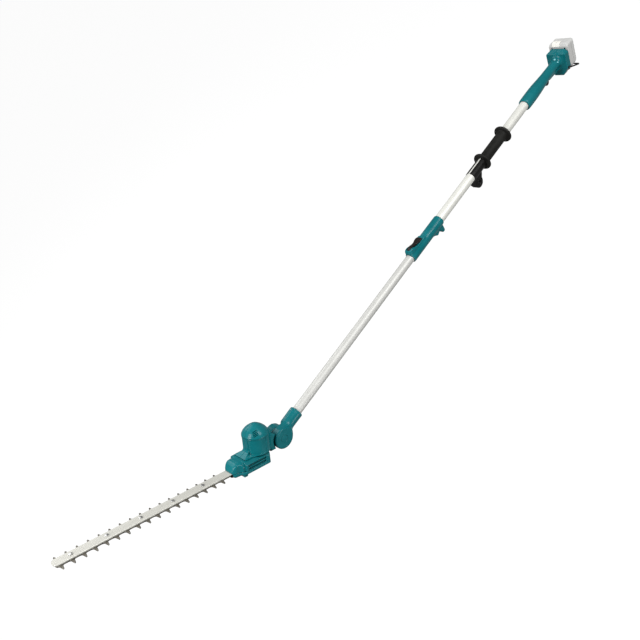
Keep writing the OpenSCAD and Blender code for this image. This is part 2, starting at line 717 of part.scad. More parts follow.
// ---- battery ----
pack_half = pack_w/2;
case_split = -39.3;   // x where the two pack shells meet
pack_side = [[-14.6, -46], [-14.6, 46], [-21, 57.5], [-56, 57.5], [-62, 51], [-62, -16],
  [-46, -31], [-42, -46]];   // [x, z]
pack_plan = mirrored([[-14, -pack_half+1], [-17, -pack_half], [-54, -pack_half],
  [-62.5, -pack_half+7.5]]);
pack_face = [[-pack_half, -25], [-17, -46.5], [17, -46.5], [pack_half, -25],
  [pack_half, 53], [pack_half-5, 58], [5-pack_half, 58], [-pack_half, 53]];   // [y, z]
button_recess = [[-14, 45.8], [-14, 70], [-37, 70], [-37, 53.6], [-25.6, 53.6], [-20.9, 45.8]];
button_outline = [[-14.8, 46.1], [-21.3, 58.3], [-34, 58.3], [-34, 54], [-22.5, 54], [-18, 46.1]];
cell_at = [for (x = [-30.2, -48.4], z = [-13.5, 4.9, 23.3, 41.7]) [x, z]];
module pack_solid() intersection() {
  plate_xz(pack_side, -pack_half, pack_half);
  plate_xy(pack_plan, -80, 80);
  plate_yz(pack_face, -80, 0);
}
module pack_cut() {
  // grooves for the rails and blades of the terminal block
  for (y = [-24, 24]) {
    box(-20.7, -17.3, y-4, y+4, -60, 42);
    box(-18, -10, y-2.6, y+2.6, -60, 42);
  }
  for (y = [-9, 9]) box(-20.8, -10, y-1, y+1, -60, 22);
  plate_xz(button_recess, -25.3, 5.3);
  for (at = cell_at) rod_y(at, -33, 33, 9.1);
  box(-57.2, -23, -33, 33, -20, 48);
}
module pack_shell(x0, x1) difference() {
  intersection() {
    pack_solid();
    box(x0, x1, -60, 60, -90, 90);
  }
  pack_cut();
}
module battery_case_inner() on_seat() color("whitesmoke") pack_shell(case_split, 0);
module battery_case_outer() on_seat() color("whitesmoke") pack_shell(-80, case_split);
module battery_cells() on_seat() color("steelblue") for (at = cell_at) rod_y(at, -32.5, 32.5, 9);
module battery_button() on_seat() color("white") plate_xz(button_outline, -25, 5);

// ---- storage hook: a U of rod hanging back and down from the seat ----
hook_drop = 26;    // angle below the pole line
hook_reach = 67;   // pivot to crossbar
module storage_hook() on_pole() color([0.1, 0.1, 0.1]) union() {
  for (side = [-1, 1]) {
    rod_y(hook_axis, side*36.8-4.7, side*36.8+4.7, 2.5);
    translate([hook_axis[0], side*41.5, hook_axis[1]]) rotate([0, -90-hook_drop, 0])
      translate([0, 0, -2.8]) cylinder(h = 72.6, r = 2.7);
  }
  rod_y(hook_axis - hook_reach*[cos(hook_drop), sin(hook_drop)], -41.5, 41.5, 2.5);
}

upper_tube();
handle_shell_left();
handle_shell_right();
handle_screws();
switch_body();
control_board();
terminal_block();
indicator_lens();
grip_sleeve();
coupling_shell_left();
coupling_shell_right();
coupling_screws();
clamp_bush();
clamp_pad();
lever_pin();
lock_lever();
cord_coil();
lower_tube();
guide_bush();
socket_shell_left();
socket_shell_right();
socket_screws();
pivot_bolt();
pivot_nut();
pivot_cap();
thrust_washer();
detent_ring();
cord_lower();
head_shell_left();
head_shell_right();
head_screws();
gear_case();
under_cover();
case_screws();
motor_can();
motor_shaft();
rotor_core();
cooling_fan();
bearing_upper();
bearing_lower();
drive_gear();
crankshaft();
guide_bar();
bar_bolts();
bar_nuts();
blade_upper();
blade_lower();
nose_guard();
tilt_button();
tilt_spring();
trigger();
trigger_pin();
lock_off_button();
power_button();
battery_case_inner();
battery_case_outer();
battery_cells();
battery_button();
storage_hook();
hanger_clamp();
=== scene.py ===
"""A cordless pole hedge trimmer: cutter head, two-part telescopic pole, rear handle, battery.

Shapes are modelled in millimetres in one of three frames, then placed in metres:
  POLE  x along the pole, +x toward the cutter, z up, +y left; origin at the tilt joint
  HEAD  the pole frame turned about y at the tilt joint, so that the blades point up and forward
  SEAT  at the rear end of the handle, leaning by SEAT_LEAN; it carries the battery
Most plastic parts are distance fields on a grid (negative inside) turned into meshes.
"""

import json
import math
from functools import reduce
from itertools import product

import bpy
import numpy as np
from mathutils import Matrix, Vector
from mathutils.geometry import tessellate_polygon

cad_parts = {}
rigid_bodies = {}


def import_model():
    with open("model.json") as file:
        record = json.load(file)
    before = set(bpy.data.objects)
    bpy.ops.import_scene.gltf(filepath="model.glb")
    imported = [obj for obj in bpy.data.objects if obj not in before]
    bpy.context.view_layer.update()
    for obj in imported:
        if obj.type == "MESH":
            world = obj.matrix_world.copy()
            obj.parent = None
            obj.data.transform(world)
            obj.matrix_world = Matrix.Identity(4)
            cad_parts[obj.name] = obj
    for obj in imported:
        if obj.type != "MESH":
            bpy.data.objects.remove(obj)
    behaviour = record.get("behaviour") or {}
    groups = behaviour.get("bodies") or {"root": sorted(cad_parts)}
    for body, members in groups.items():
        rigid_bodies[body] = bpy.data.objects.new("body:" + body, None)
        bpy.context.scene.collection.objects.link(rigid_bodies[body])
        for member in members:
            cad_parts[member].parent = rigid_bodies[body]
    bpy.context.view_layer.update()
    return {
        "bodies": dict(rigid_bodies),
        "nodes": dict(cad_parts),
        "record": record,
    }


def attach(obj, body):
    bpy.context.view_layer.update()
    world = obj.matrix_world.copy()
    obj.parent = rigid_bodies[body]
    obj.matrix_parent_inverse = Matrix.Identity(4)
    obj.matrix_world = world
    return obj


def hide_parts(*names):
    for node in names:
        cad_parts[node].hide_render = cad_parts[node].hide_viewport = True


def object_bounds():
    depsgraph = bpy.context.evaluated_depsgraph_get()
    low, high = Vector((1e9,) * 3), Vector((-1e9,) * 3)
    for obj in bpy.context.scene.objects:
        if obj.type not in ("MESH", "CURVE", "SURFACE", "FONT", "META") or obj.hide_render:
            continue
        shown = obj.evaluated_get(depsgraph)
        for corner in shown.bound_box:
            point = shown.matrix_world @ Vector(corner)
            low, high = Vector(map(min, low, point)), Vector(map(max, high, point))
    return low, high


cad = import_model()

f4 = np.float32
COARSEN = 1.0    # grid steps grow by this
HEAD_TILT = math.radians(32.6)
SEAT_LEAN = math.radians(7)
POLE = Matrix.Translation((1.070, 0, 0.042)) @ Matrix.Scale(0.001, 4)
HEAD = POLE @ Matrix.Rotation(-HEAD_TILT, 4, 'Y')
SEAT = POLE @ Matrix.Translation((-1650, 0, -6)) @ Matrix.Rotation(-SEAT_LEAN, 4, 'Y')

# Sizes shared between parts, mm
SPLIT_GAP = 0.02                # each half stops this far from the parting plane
FRONT_TUBE = 14.0               # outer radii of the pole tubes
REAR_TUBE = 15.7
TUBE_WALL = 1.5
HOUSING_AXIS = (77, 0)          # HEAD x, y of the domed housing
GEAR_AXIS = (109.5, 0)          # HEAD x, y of the gear under the case
CASE_POSTS = [(71, 28.5), (71, -28.5), (142, 25.2), (142, -25.2)]   # HEAD x, y
LEVER_PIVOT = (-693, 23.5)      # POLE x, z
TRIGGER_PIVOT = (-1530, -10)
BAIL_PIVOT = (-1645, -27)
HANGER_EYE = (-1070, -42)


# ================================================================ outlines
def mirror(half, axis=1):
    """a closed outline from its positive half; the negative half comes first"""
    if axis == 0:
        return [(-u, v) for u, v in half] + half[::-1]
    return [(u, -v) for u, v in half] + half[::-1]


def fillet(points, radii, steps=5):
    """round each corner of a closed outline with an arc of steps + 1 points"""
    rounded = []
    total = len(points)
    for i in range(total):
        before, corner, after = [np.array(points[k % total], float) for k in (i - 1, i, i + 1)]
        radius = radii[i] if isinstance(radii, list) else radii
        back, ahead = before - corner, after - corner
        back_length, ahead_length = np.linalg.norm(back), np.linalg.norm(ahead)
        if radius <= 0 or back_length < 1e-9 or ahead_length < 1e-9:
            rounded.append(tuple(corner))
            continue
        back /= back_length
        ahead /= ahead_length
        angle = math.acos(max(-1, min(1, float(back @ ahead))))
        if angle > math.pi - 0.03 or angle < 0.02:
            rounded.append(tuple(corner))
            continue
        trim = min(radius / math.tan(angle / 2), 0.47 * back_length, 0.47 * ahead_length)
        radius = trim * math.tan(angle / 2)
        middle = back + ahead
        middle /= np.linalg.norm(middle)
        centre = corner + middle * radius / math.sin(angle / 2)
        start, end = corner + back * trim - centre, corner + ahead * trim - centre
        first = math.atan2(start[1], start[0])
        turn = (math.atan2(end[1], end[0]) - first + math.pi) % (2 * math.pi) - math.pi
        for k in range(steps + 1):
            theta = first + turn * k / steps
            rounded.append((centre[0] + radius * math.cos(theta),
                            centre[1] + radius * math.sin(theta)))
    return rounded


def mirror_fillet(half, radii, axis=1):
    return fillet(mirror(half, axis), radii + radii[::-1])


def smooth_line(points, steps):
    """Catmull-Rom curve through the points"""
    p = [np.array(point, float) for point in points]
    p = [2 * p[0] - p[1]] + p + [2 * p[-1] - p[-2]]
    curve = []
    for i in range(1, len(p) - 2):
        for k in range(steps):
            t = k / steps
            curve.append(tuple(0.5 * (
                (2 * p[i]) + (-p[i - 1] + p[i + 1]) * t
                + (2 * p[i - 1] - 5 * p[i] + 4 * p[i + 1] - p[i + 2]) * t * t
                + (-p[i - 1] + 3 * p[i] - 3 * p[i + 1] + p[i + 2]) * t**3)))
    curve.append(tuple(p[-2]))
    return curve


def circle(x, radius, steps=24):
    angles = [2 * math.pi * i / steps for i in range(steps)]
    return [(x + radius * math.cos(a), radius * math.sin(a)) for a in angles]


def long_hole(x, half_length, radius, steps=10):
    """outline of a slot along x with round ends"""
    ends = ((x + half_length, -0.5), (x - half_length, 0.5))
    return [(centre + radius * math.cos(math.pi * (first + i / steps)),
             radius * math.sin(math.pi * (first + i / steps)))
            for centre, first in ends for i in range(steps + 1)]


# ================================================================ distance fields
class Grid:
    """sample points from low to high, a step apart"""
    def __init__(self, low, high, step):
        self.step = step * COARSEN
        self.low = np.array(low, float)
        self.count = [int(math.ceil((b - a) / self.step)) + 1 for a, b in zip(low, high)]
        x, y, z = [(a + self.step * np.arange(n)).astype(f4) for a, n in zip(low, self.count)]
        self.axes = x[:, None, None], y[None, :, None], z[None, None, :]


def outline(u, v, points):
    """signed distance to a closed polygon"""
    points = np.asarray(points, float)
    nearest = None
    sign = None
    for i in range(len(points)):
        a, b = points[i], points[i - 1]
        edge = b - a
        length = float(edge @ edge)
        if length < 1e-12:
            continue
        du, dv = u - f4(a[0]), v - f4(a[1])
        t = np.clip((du * f4(edge[0]) + dv * f4(edge[1])) / f4(length), 0, 1)
        off_u, off_v = du - f4(edge[0]) * t, dv - f4(edge[1]) * t
        square = off_u * off_u + off_v * off_v
        nearest = square if nearest is None else np.minimum(nearest, square)
        above, below = v >= a[1], v < b[1]
        left = f4(edge[0]) * dv > f4(edge[1]) * du
        flip = (above & below & left) | (~above & ~below & ~left)
        if sign is None:
            sign = np.where(flip, -1, 1).astype(f4)
        else:
            sign = np.where(flip, -sign, sign)
    return (sign * np.sqrt(nearest)).astype(f4)


def distance(u, v):
    return np.sqrt(u * u + v * v)


def along_and_around(grid, axis, centre):
    """the coordinate along an axis line, and the distance from it"""
    index = 'xyz'.index(axis)
    u, v = [grid.axes[i] for i in range(3) if i != index]
    return grid.axes[index], distance(u - centre[0], v - centre[1])


def meet(*fields):
    return reduce(np.maximum, fields)


def join(*fields):
    return reduce(np.minimum, fields)


def carve(solid, *tools):
    return meet(solid, *(-tool for tool in tools))


def round_meet(radius, *fields):
    """overlap with a rounded edge"""
    fields = [field + radius for field in fields]
    outside = np.sqrt(sum(np.maximum(field, 0) ** 2 for field in fields))
    return np.minimum(meet(*fields), 0) + outside - radius


def blend_join(a, b, width):
    h = np.clip(0.5 + 0.5 * (b - a) / width, 0, 1)
    return b * (1 - h) + a * h - width * h * (1 - h)


def blend_meet(a, b, width):
    return -blend_join(-a, -b, width)


def slab(t, low, high):
    return np.abs(t - (low + high) / 2) - (high - low) / 2


def cylinder(grid, axis, centre, low, high, radius, rounding=0.0):
    along, around = along_and_around(grid, axis, centre)
    side, ends = around - radius, slab(along, low, high)
    return round_meet(rounding, side, ends) if rounding else meet(side, ends)


def box(grid, x0, x1, y0, y1, z0, z1, rounding=0.0):
    x, y, z = grid.axes
    sides = slab(x, x0, x1), slab(y, y0, y1), slab(z, z0, z1)
    return round_meet(rounding, *sides) if rounding else meet(*sides)


def turned(grid, axis, centre, profile):
    """solid of revolution; profile is (along axis, radius), from the axis back to the axis"""
    pitch = 0.25                        # radial step of the table that is interpolated
    section = profile + [(t, -radius) for t, radius in reversed(profile)]
    along, around = along_and_around(grid, axis, centre)
    radii = np.arange(0, float(around.max()) + 1, pitch).astype(f4)
    table = outline(along.reshape(-1)[:, None], radii[None, :], section)
    place = around / pitch
    cell = np.minimum(place.astype(np.int32), len(radii) - 2)
    part = (place - cell).astype(f4)
    index = 'xyz'.index(axis)
    cell, part = np.take(cell, 0, axis=index), np.take(part, 0, axis=index)
    field = table[:, cell] * (1 - part)[None] + table[:, cell + 1] * part[None]
    return np.moveaxis(field, 0, index)


def groove(solid, offset, width, depth, where=True):
    """a seam sunk into the surface; offset is the distance to the seam's own plane"""
    sunk = np.maximum(solid, np.minimum(width / 2 - np.abs(offset), solid + depth))
    return np.where(where, sunk, solid)


def screw_holes(grid, axis, places, outer, tip, thread, seat, head):
    """stepped bores from outer: radius head as far as seat, then radius thread to tip"""
    return join(*(cylinder(grid, axis, place, outer, end, radius)
                  for place in places for end, radius in ((tip, thread), (seat, head))))


# ================================================================ meshes
def surface(grid, field):
    """naive surface nets, relaxed and moved onto the surface"""
    field = np.ascontiguousarray(np.broadcast_to(field, grid.count), f4)
    inside = field < 0
    filled = np.zeros([n - 1 for n in grid.count], np.uint8)
    nx, ny, nz = filled.shape
    for i, j, k in product((0, 1), repeat=3):
        filled += inside[i:i + nx, j:j + ny, k:k + nz]
    active = (filled > 0) & (filled < 8)
    cells = np.argwhere(active)
    index = np.full(active.shape, -1, np.int32)
    index[active] = np.arange(len(cells), dtype=np.int32)

    # one vertex per cell, at the mean of its edge crossings
    points = np.zeros((len(cells), 3))
    crossings = np.zeros(len(cells))
    for axis in range(3):
        others = [k for k in range(3) if k != axis]
        for step_a, step_b in product((0, 1), repeat=2):
            low = cells.copy()
            low[:, others[0]] += step_a
            low[:, others[1]] += step_b
            high = low.copy()
            high[:, axis] += 1
            at_low, at_high = field[tuple(low.T)], field[tuple(high.T)]
            crossed = (at_low < 0) != (at_high < 0)
            crossing = low[crossed].astype(float)
            crossing[:, axis] += at_low[crossed] / (at_low[crossed] - at_high[crossed])
            points[crossed] += crossing
            crossings[crossed] += 1
    points /= crossings[:, None]

    # one quad per crossed grid edge
    quads = []
    for axis in range(3):
        a, b = (axis + 1) % 3, (axis + 2) % 3
        edges = np.argwhere(np.diff(inside, axis=axis))
        edges = edges[(edges[:, a] > 0) & (edges[:, b] > 0)
                      & (edges[:, a] < grid.count[a] - 1) & (edges[:, b] < grid.count[b] - 1)]
        corners = []
        for back_a, back_b in ((1, 1), (0, 1), (0, 0), (1, 0)):
            cell = edges.copy()
            cell[:, a] -= back_a
            cell[:, b] -= back_b
            corners.append(index[tuple(cell.T)])
        faces = np.stack(corners, 1)
        leaving = inside[tuple(edges.T)]
        faces[~leaving] = faces[~leaving][:, ::-1]
        quads.append(faces)
    faces = np.concatenate(quads)
    limit = np.array(grid.count) - 1.001

    def sample(places):
        places = np.clip(places, 0, limit)
        base = places.astype(np.int32)
        part = places - base
        total = 0
        for offset in product((0, 1), repeat=3):
            term = field[tuple((base + offset).T)]
            for axis in range(3):
                term = term * (part[:, axis] if offset[axis] else 1 - part[:, axis])
            total = total + term
        return total / grid.step

    def project(places):
        reach = 0.35                    # cells, for the gradient
        gradient = np.stack([sample(places + np.eye(3)[k] * reach)
                             - sample(places - np.eye(3)[k] * reach)
                             for k in range(3)], 1) / (2 * reach)
        steepness = np.maximum((gradient ** 2).sum(1), 0.15)
        move = gradient * (sample(places) / steepness)[:, None]
        length = np.linalg.norm(move, axis=1)
        move *= np.minimum(1, 0.6 / np.maximum(length, 1e-9))[:, None]
        return places - move

    starts, ends = faces.T.ravel(), np.roll(faces, -1, axis=1).T.ravel()
    here, there = np.concatenate([starts, ends]), np.concatenate([ends, starts])
    size = len(points)
    degree = np.maximum(np.bincount(here, minlength=size), 1)
    for _ in range(2):
        mean = np.stack([np.bincount(here, weights=points[there, k], minlength=size)
                         for k in range(3)], 1) / degree[:, None]
        points = project(points + 0.5 * (mean - points))
    points = project(points)
    return points * grid.step + grid.low, faces


def lathe(profile, steps, axis='x'):
    """a closed loop of (along axis, radius) turned about an axis"""
    vertices = []
    faces = []
    count = len(profile)
    for i in range(steps):
        angle = 2 * math.pi * i / steps
        cos, sin = math.cos(angle), math.sin(angle)
        for t, radius in profile:
            vertices.append((t, radius * cos, radius * sin) if axis == 'x'
                            else (radius * sin, t, radius * cos))
        here, there = i * count, ((i + 1) % steps) * count
        for j in range(count):
            k = (j + 1) % count
            faces.append((here + j, here + k, there + k, there + j))
    vertices, faces = np.array(vertices), np.array(faces)
    a, b, c, d = [vertices[faces[:, k]] for k in range(4)]
    volume = (np.einsum('ij,ij->i', a, np.cross(b, c)).sum()
              + np.einsum('ij,ij->i', a, np.cross(c, d)).sum())
    if volume < 0:                      # make the faces look outward
        faces = faces[:, ::-1]
    return vertices, faces


def rod(path, radius, steps):
    """round rod along a polyline, with domed ends"""
    points = [np.array(point, float) for point in path]
    last = len(points) - 1
    tangents = [points[min(i + 1, last)] - points[max(i - 1, 0)] for i in range(last + 1)]
    tangents = [tangent / np.linalg.norm(tangent) for tangent in tangents]
    dome = [math.pi / 2 * (k + 0.35) / 4.35 for k in range(4)]
    bulge = radius * 0.6
    stations = [(points[0] - tangents[0] * bulge * math.cos(a), tangents[0],
                 radius * math.sin(a)) for a in dome]
    stations += [(point, tangent, radius) for point, tangent in zip(points, tangents)]
    stations += [(points[-1] + tangents[-1] * bulge * math.cos(a), tangents[-1],
                  radius * math.sin(a)) for a in reversed(dome)]
    side = np.cross(tangents[0], [0.13, 0.27, 0.95])
    side /= np.linalg.norm(side)
    vertices = []
    for centre, tangent, size in stations:
        side = side - tangent * (side @ tangent)
        side /= np.linalg.norm(side)
        other = np.cross(tangent, side)
        for i in range(steps):
            angle = 2 * math.pi * i / steps
            vertices.append(centre + size * (side * math.cos(angle) + other * math.sin(angle)))
    faces = []
    for s in range(len(stations) - 1):
        for i in range(steps):
            a, b = s * steps + i, s * steps + (i + 1) % steps
            faces.append((a, b, b + steps, a + steps))
    faces.append(tuple(range(steps))[::-1])
    faces.append(tuple((len(stations) - 1) * steps + i for i in range(steps)))
    return vertices, faces


def inset(points, depths):
    """move each corner of an anticlockwise outline inward"""
    moved = []
    for i, point in enumerate(points):
        before, corner, after = map(np.array, (points[i - 1], point,
                                               points[(i + 1) % len(points)]))
        normals = [np.array([-edge[1], edge[0]]) / np.linalg.norm(edge)
                   for edge in (corner - before, after - corner)]
        middle = normals[0] + normals[1]
        middle = middle / np.linalg.norm(middle)
        stretch = 1 / max(0.45, float(middle @ normals[0]))
        moved.append(tuple(corner + middle * depths[i] * stretch))
    return moved


def plate(outer, holes, bottom, top, bevel=0.25, bottom_grind=None, top_grind=None):
    """flat plate with anticlockwise outlines; a grind list sets back each corner of one face"""
    vertices = []
    faces = []
    count = len(outer)

    def rim(grind):
        """(setback of each corner, height over which it runs)"""
        return ([bevel] * count, bevel) if grind is None else (grind, 0.62 * (top - bottom))

    def ring(points, height):
        start = len(vertices)
        vertices.extend((point[0], point[1], height) for point in points)
        return start

    def wall(lower, upper, size, inward=False):
        for i in range(size):
            j = (i + 1) % size
            quad = (lower + i, lower + j, upper + j, upper + i)
            faces.append(quad[::-1] if inward else quad)

    def cap(loops, starts, upward):
        ids = [start + i for start, loop in zip(starts, loops) for i in range(len(loop))]
        flat = [[Vector((point[0], point[1], 0)) for point in loop] for loop in loops]
        for triangle in tessellate_polygon(flat):
            a, b, c = [ids[i] for i in triangle]
            (ax, ay), (bx, by), (cx, cy) = [vertices[i][:2] for i in (a, b, c)]
            anticlockwise = (bx - ax) * (cy - ay) - (by - ay) * (cx - ax) > 0
            faces.append((a, b, c) if anticlockwise == upward else (a, c, b))

    low_setback, low_height = rim(bottom_grind)
    high_setback, high_height = rim(top_grind)
    low_face, high_face = inset(outer, low_setback), inset(outer, high_setback)
    rings = [ring(low_face, bottom), ring(outer, bottom + low_height),
             ring(outer, top - high_height), ring(high_face, top)]
    for lower, upper in zip(rings, rings[1:]):
        wall(lower, upper, count)
    low_starts, high_starts = [rings[0]], [rings[-1]]
    for hole in holes:
        low_starts.append(ring(hole, bottom))
        high_starts.append(ring(hole, top))
        wall(low_starts[-1], high_starts[-1], len(hole), inward=True)
    cap([low_face] + holes, low_starts, upward=False)
    cap([high_face] + holes, high_starts, upward=True)
    return vertices, faces


def add_mesh(name, shape, frame, body, replaced, slot, finish=None, sharp=None, keep=1.0):
    """place a shape; sharp is the crease angle in degrees, keep the share of faces kept"""
    vertices, faces = shape
    matrix = np.array(frame)
    placed = np.asarray(vertices, float) @ matrix[:3, :3].T + matrix[:3, 3]
    mesh = bpy.data.meshes.new(name)
    if isinstance(faces, np.ndarray):
        mesh.vertices.add(len(placed))
        mesh.vertices.foreach_set('co', placed.astype(f4).ravel())
        mesh.loops.add(faces.size)
        mesh.loops.foreach_set('vertex_index', faces.astype(np.int32).ravel())
        mesh.polygons.add(len(faces))
        starts = np.arange(0, faces.size, faces.shape[1], dtype=np.int32)
        mesh.polygons.foreach_set('loop_start', starts)
        mesh.update(calc_edges=True)
    else:
        mesh.from_pydata([tuple(point) for point in placed], [], [list(f) for f in faces])
    mesh.validate()
    obj = bpy.data.objects.new(name, mesh)
    bpy.context.scene.collection.objects.link(obj)
    if keep < 1.0:
        obj.modifiers.new('d', 'DECIMATE').ratio = keep
        graph = bpy.context.evaluated_depsgraph_get()
        thinned = bpy.data.meshes.new_from_object(obj.evaluated_get(graph))
        obj.modifiers.clear()
        obj.data = thinned
        bpy.data.meshes.remove(mesh)
        mesh = thinned
        mesh.name = name
    mesh.polygons.foreach_set('use_smooth', [True] * len(mesh.polygons))
    if sharp is not None:
        mesh.set_sharp_from_angle(angle=math.radians(sharp))
    mesh.materials.clear()
    mesh.materials.append(FINISHES[finish or slot])
    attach(obj, body)
    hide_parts(replaced)


def add_solid(name, grid, field, frame, body, replaced, slot, finish=None, keep=0.30):
    add_mesh(name, surface(grid, field), frame, body, replaced, slot, finish,
             keep=keep)


def add_halves(name, replaced, grid, field, frame, body):
    """split a teal shell at y = 0"""
    y = grid.axes[1]
    for side, cut in (('left', SPLIT_GAP - y), ('right', y + SPLIT_GAP)):
        add_solid(f'{name}_{side}', grid, meet(field, cut), frame, body,
                  f'{replaced}_{side}', 'teal_plastic')


# ================================================================ materials
def set_inputs(tree, node, **inputs):
    """link sockets and set values by input name; colours are RGB"""
    for name, value in inputs.items():
        feed(tree, node.inputs[name.replace('_', ' ')], value)


def feed(tree, socket, value):
    if isinstance(value, bpy.types.NodeSocket):
        tree.links.new(value, socket)
    else:
        socket.default_value = (*value, 1) if socket.type == 'RGBA' else value


def add_node(tree, kind, **inputs):
    node = tree.nodes.new('ShaderNode' + kind)
    set_inputs(tree, node, **inputs)
    return node


def new_material(name):
    material = bpy.data.materials.new(name)
    material.use_nodes = True
    tree = material.node_tree
    return material, tree, tree.nodes['Principled BSDF']


def coords(tree, scale=(1, 1, 1), rotation=(0, 0, 0)):
    place = add_node(tree, 'TexCoord').outputs['Object']
    return add_node(tree, 'Mapping', Vector=place, Scale=scale,
                    Rotation=rotation).outputs['Vector']


def noise(tree, **inputs):
    return add_node(tree, 'TexNoise', **inputs).outputs['Fac']


def mix_colour(tree, factor, a, b):
    mix = add_node(tree, 'Mix')
    mix.data_type = 'RGBA'
    for index, value in ((0, factor), (6, a), (7, b)):      # factor, colour A, colour B
        feed(tree, mix.inputs[index], value)
    return mix.outputs[2]


def remap(tree, source, low, high, to_low=0.0, to_high=1.0):
    node = add_node(tree, 'MapRange')
    for index, value in enumerate((source, low, high, to_low, to_high)):
        feed(tree, node.inputs[index], value)
    return node.outputs[0]


def bump(tree, height, strength, depth, **under):
    """depth in metres; Normal= stacks it on another bump"""
    return add_node(tree, 'Bump', Strength=strength, Distance=depth, Height=height,
                    **under).outputs['Normal']


def shade(colour, gain, lift=0.0):
    return tuple(min(1, channel * gain + lift) for channel in colour)


def plastic(name, colour, roughness, specular=0.5, cavity=0.55, variation=0.10, wear=0.10,
            grain=0.10):
    """cavity sets the painted shade that ambient occlusion lays into corners and creases, wear
    lightens scuffs, grain is the bump strength
    """
    material, tree, surface_node = new_material(name)
    place = coords(tree)
    blotches = noise(tree, Scale=22.0, Detail=5.0, Roughness=0.6, Vector=place)
    fine = noise(tree, Scale=1500, Detail=2.0, Roughness=0.5, Vector=place)
    pebbles = add_node(tree, 'TexVoronoi', Scale=1050.0, Vector=place)
    tint = mix_colour(tree, remap(tree, blotches, 0.35, 0.65),
                      shade(colour, 1 - variation), shade(colour, 1 + variation, 0.004))
    scuffs = noise(tree, Scale=260.0, Detail=6.0, Roughness=0.75, Distortion=1.2,
                   Vector=coords(tree, scale=(0.35, 1.6, 1.0), rotation=(0.3, 0.5, 0.2)))
    tint = mix_colour(tree, remap(tree, scuffs, 0.60, 0.78, 0.0, wear),
                      tint, shade(colour, 0.6, 0.08))
    # painted shade: the colour darkens, by up to cavity, where ambient occlusion finds corners,
    # creases and gaps between parts
    occlusion = add_node(tree, 'AmbientOcclusion', Distance=0.006)
    occlusion.samples = 20
    tint = mix_colour(tree, remap(tree, occlusion.outputs['AO'], 0.25, 0.95),
                      shade(colour, 1 - cavity), tint)
    gloss = remap(tree, blotches, 0.3, 0.7, roughness - 0.05, roughness + 0.07)
    relief = bump(tree, pebbles.outputs['Distance'], strength=grain, depth=0.00012)
    relief = bump(tree, fine, strength=grain * 0.8, depth=0.0001, Normal=relief)
    set_inputs(tree, surface_node, Base_Color=tint, Roughness=gloss, Normal=relief,
               Specular_IOR_Level=specular)
    return material


def metal(name, colour, roughness, brush, scale, relief, metallic=1.0, variation=0.12,
          anisotropy=0.3, spots=0.0):
    """brush stretches the noise along an axis, scale is its size, relief its bump strength"""
    material, tree, surface_node = new_material(name)
    painted = metallic < 0.5            # flatter and more even than bare metal
    strokes = noise(tree, Scale=scale, Detail=4.0, Roughness=0.65,
                    Vector=coords(tree, scale=brush))
    place = coords(tree)
    blotches = noise(tree, Scale=14.0, Detail=6.0, Roughness=0.6, Vector=place)
    tint = mix_colour(tree, remap(tree, strokes, 0.3, 0.7),
                      shade(colour, 1 - variation), shade(colour, 1 + variation * 0.4))
    tint = mix_colour(tree, remap(tree, blotches, 0.40, 0.75, 0, 0.35), tint,
                      shade(colour, 0.80))
    if spots:
        stains = noise(tree, Scale=170.0, Detail=8.0, Roughness=0.8, Vector=place)
        tint = mix_colour(tree, remap(tree, stains, 0.62, 0.74, 0, spots), tint,
                          (0.16, 0.13, 0.10))
    spread = 0.02 if painted else 0.08
    set_inputs(
        tree, surface_node, Base_Color=tint, Metallic=metallic, Anisotropic=anisotropy,
        Roughness=remap(tree, strokes, 0.25, 0.75, roughness - spread, roughness + spread),
        Normal=bump(tree, strokes, strength=relief, depth=0.00002 if painted else 0.00006))
    return material


def rubber(name, colour):
    material, tree, surface_node = new_material(name)
    place = coords(tree)
    fine = noise(tree, Scale=900.0, Detail=5.0, Roughness=0.7, Vector=place)
    blotches = noise(tree, Scale=35.0, Detail=5.0, Roughness=0.6, Vector=place)
    pebbles = add_node(tree, 'TexVoronoi', Scale=1500.0, Vector=place)
    tint = mix_colour(tree, remap(tree, blotches, 0.35, 0.68), colour,
                      shade(colour, 1.7, 0.004))
    tint = mix_colour(tree, remap(tree, fine, 0.58, 0.72, 0, 0.25), tint,
                      shade(colour, 2.2, 0.02))
    relief = bump(tree, pebbles.outputs['Distance'], strength=0.10, depth=0.0002)
    set_inputs(tree, surface_node, Base_Color=tint, Specular_IOR_Level=0.13,
               Roughness=remap(tree, blotches, 0.3, 0.7, 0.52, 0.68),
               Normal=bump(tree, fine, strength=0.08, depth=0.00015, Normal=relief))
    return material


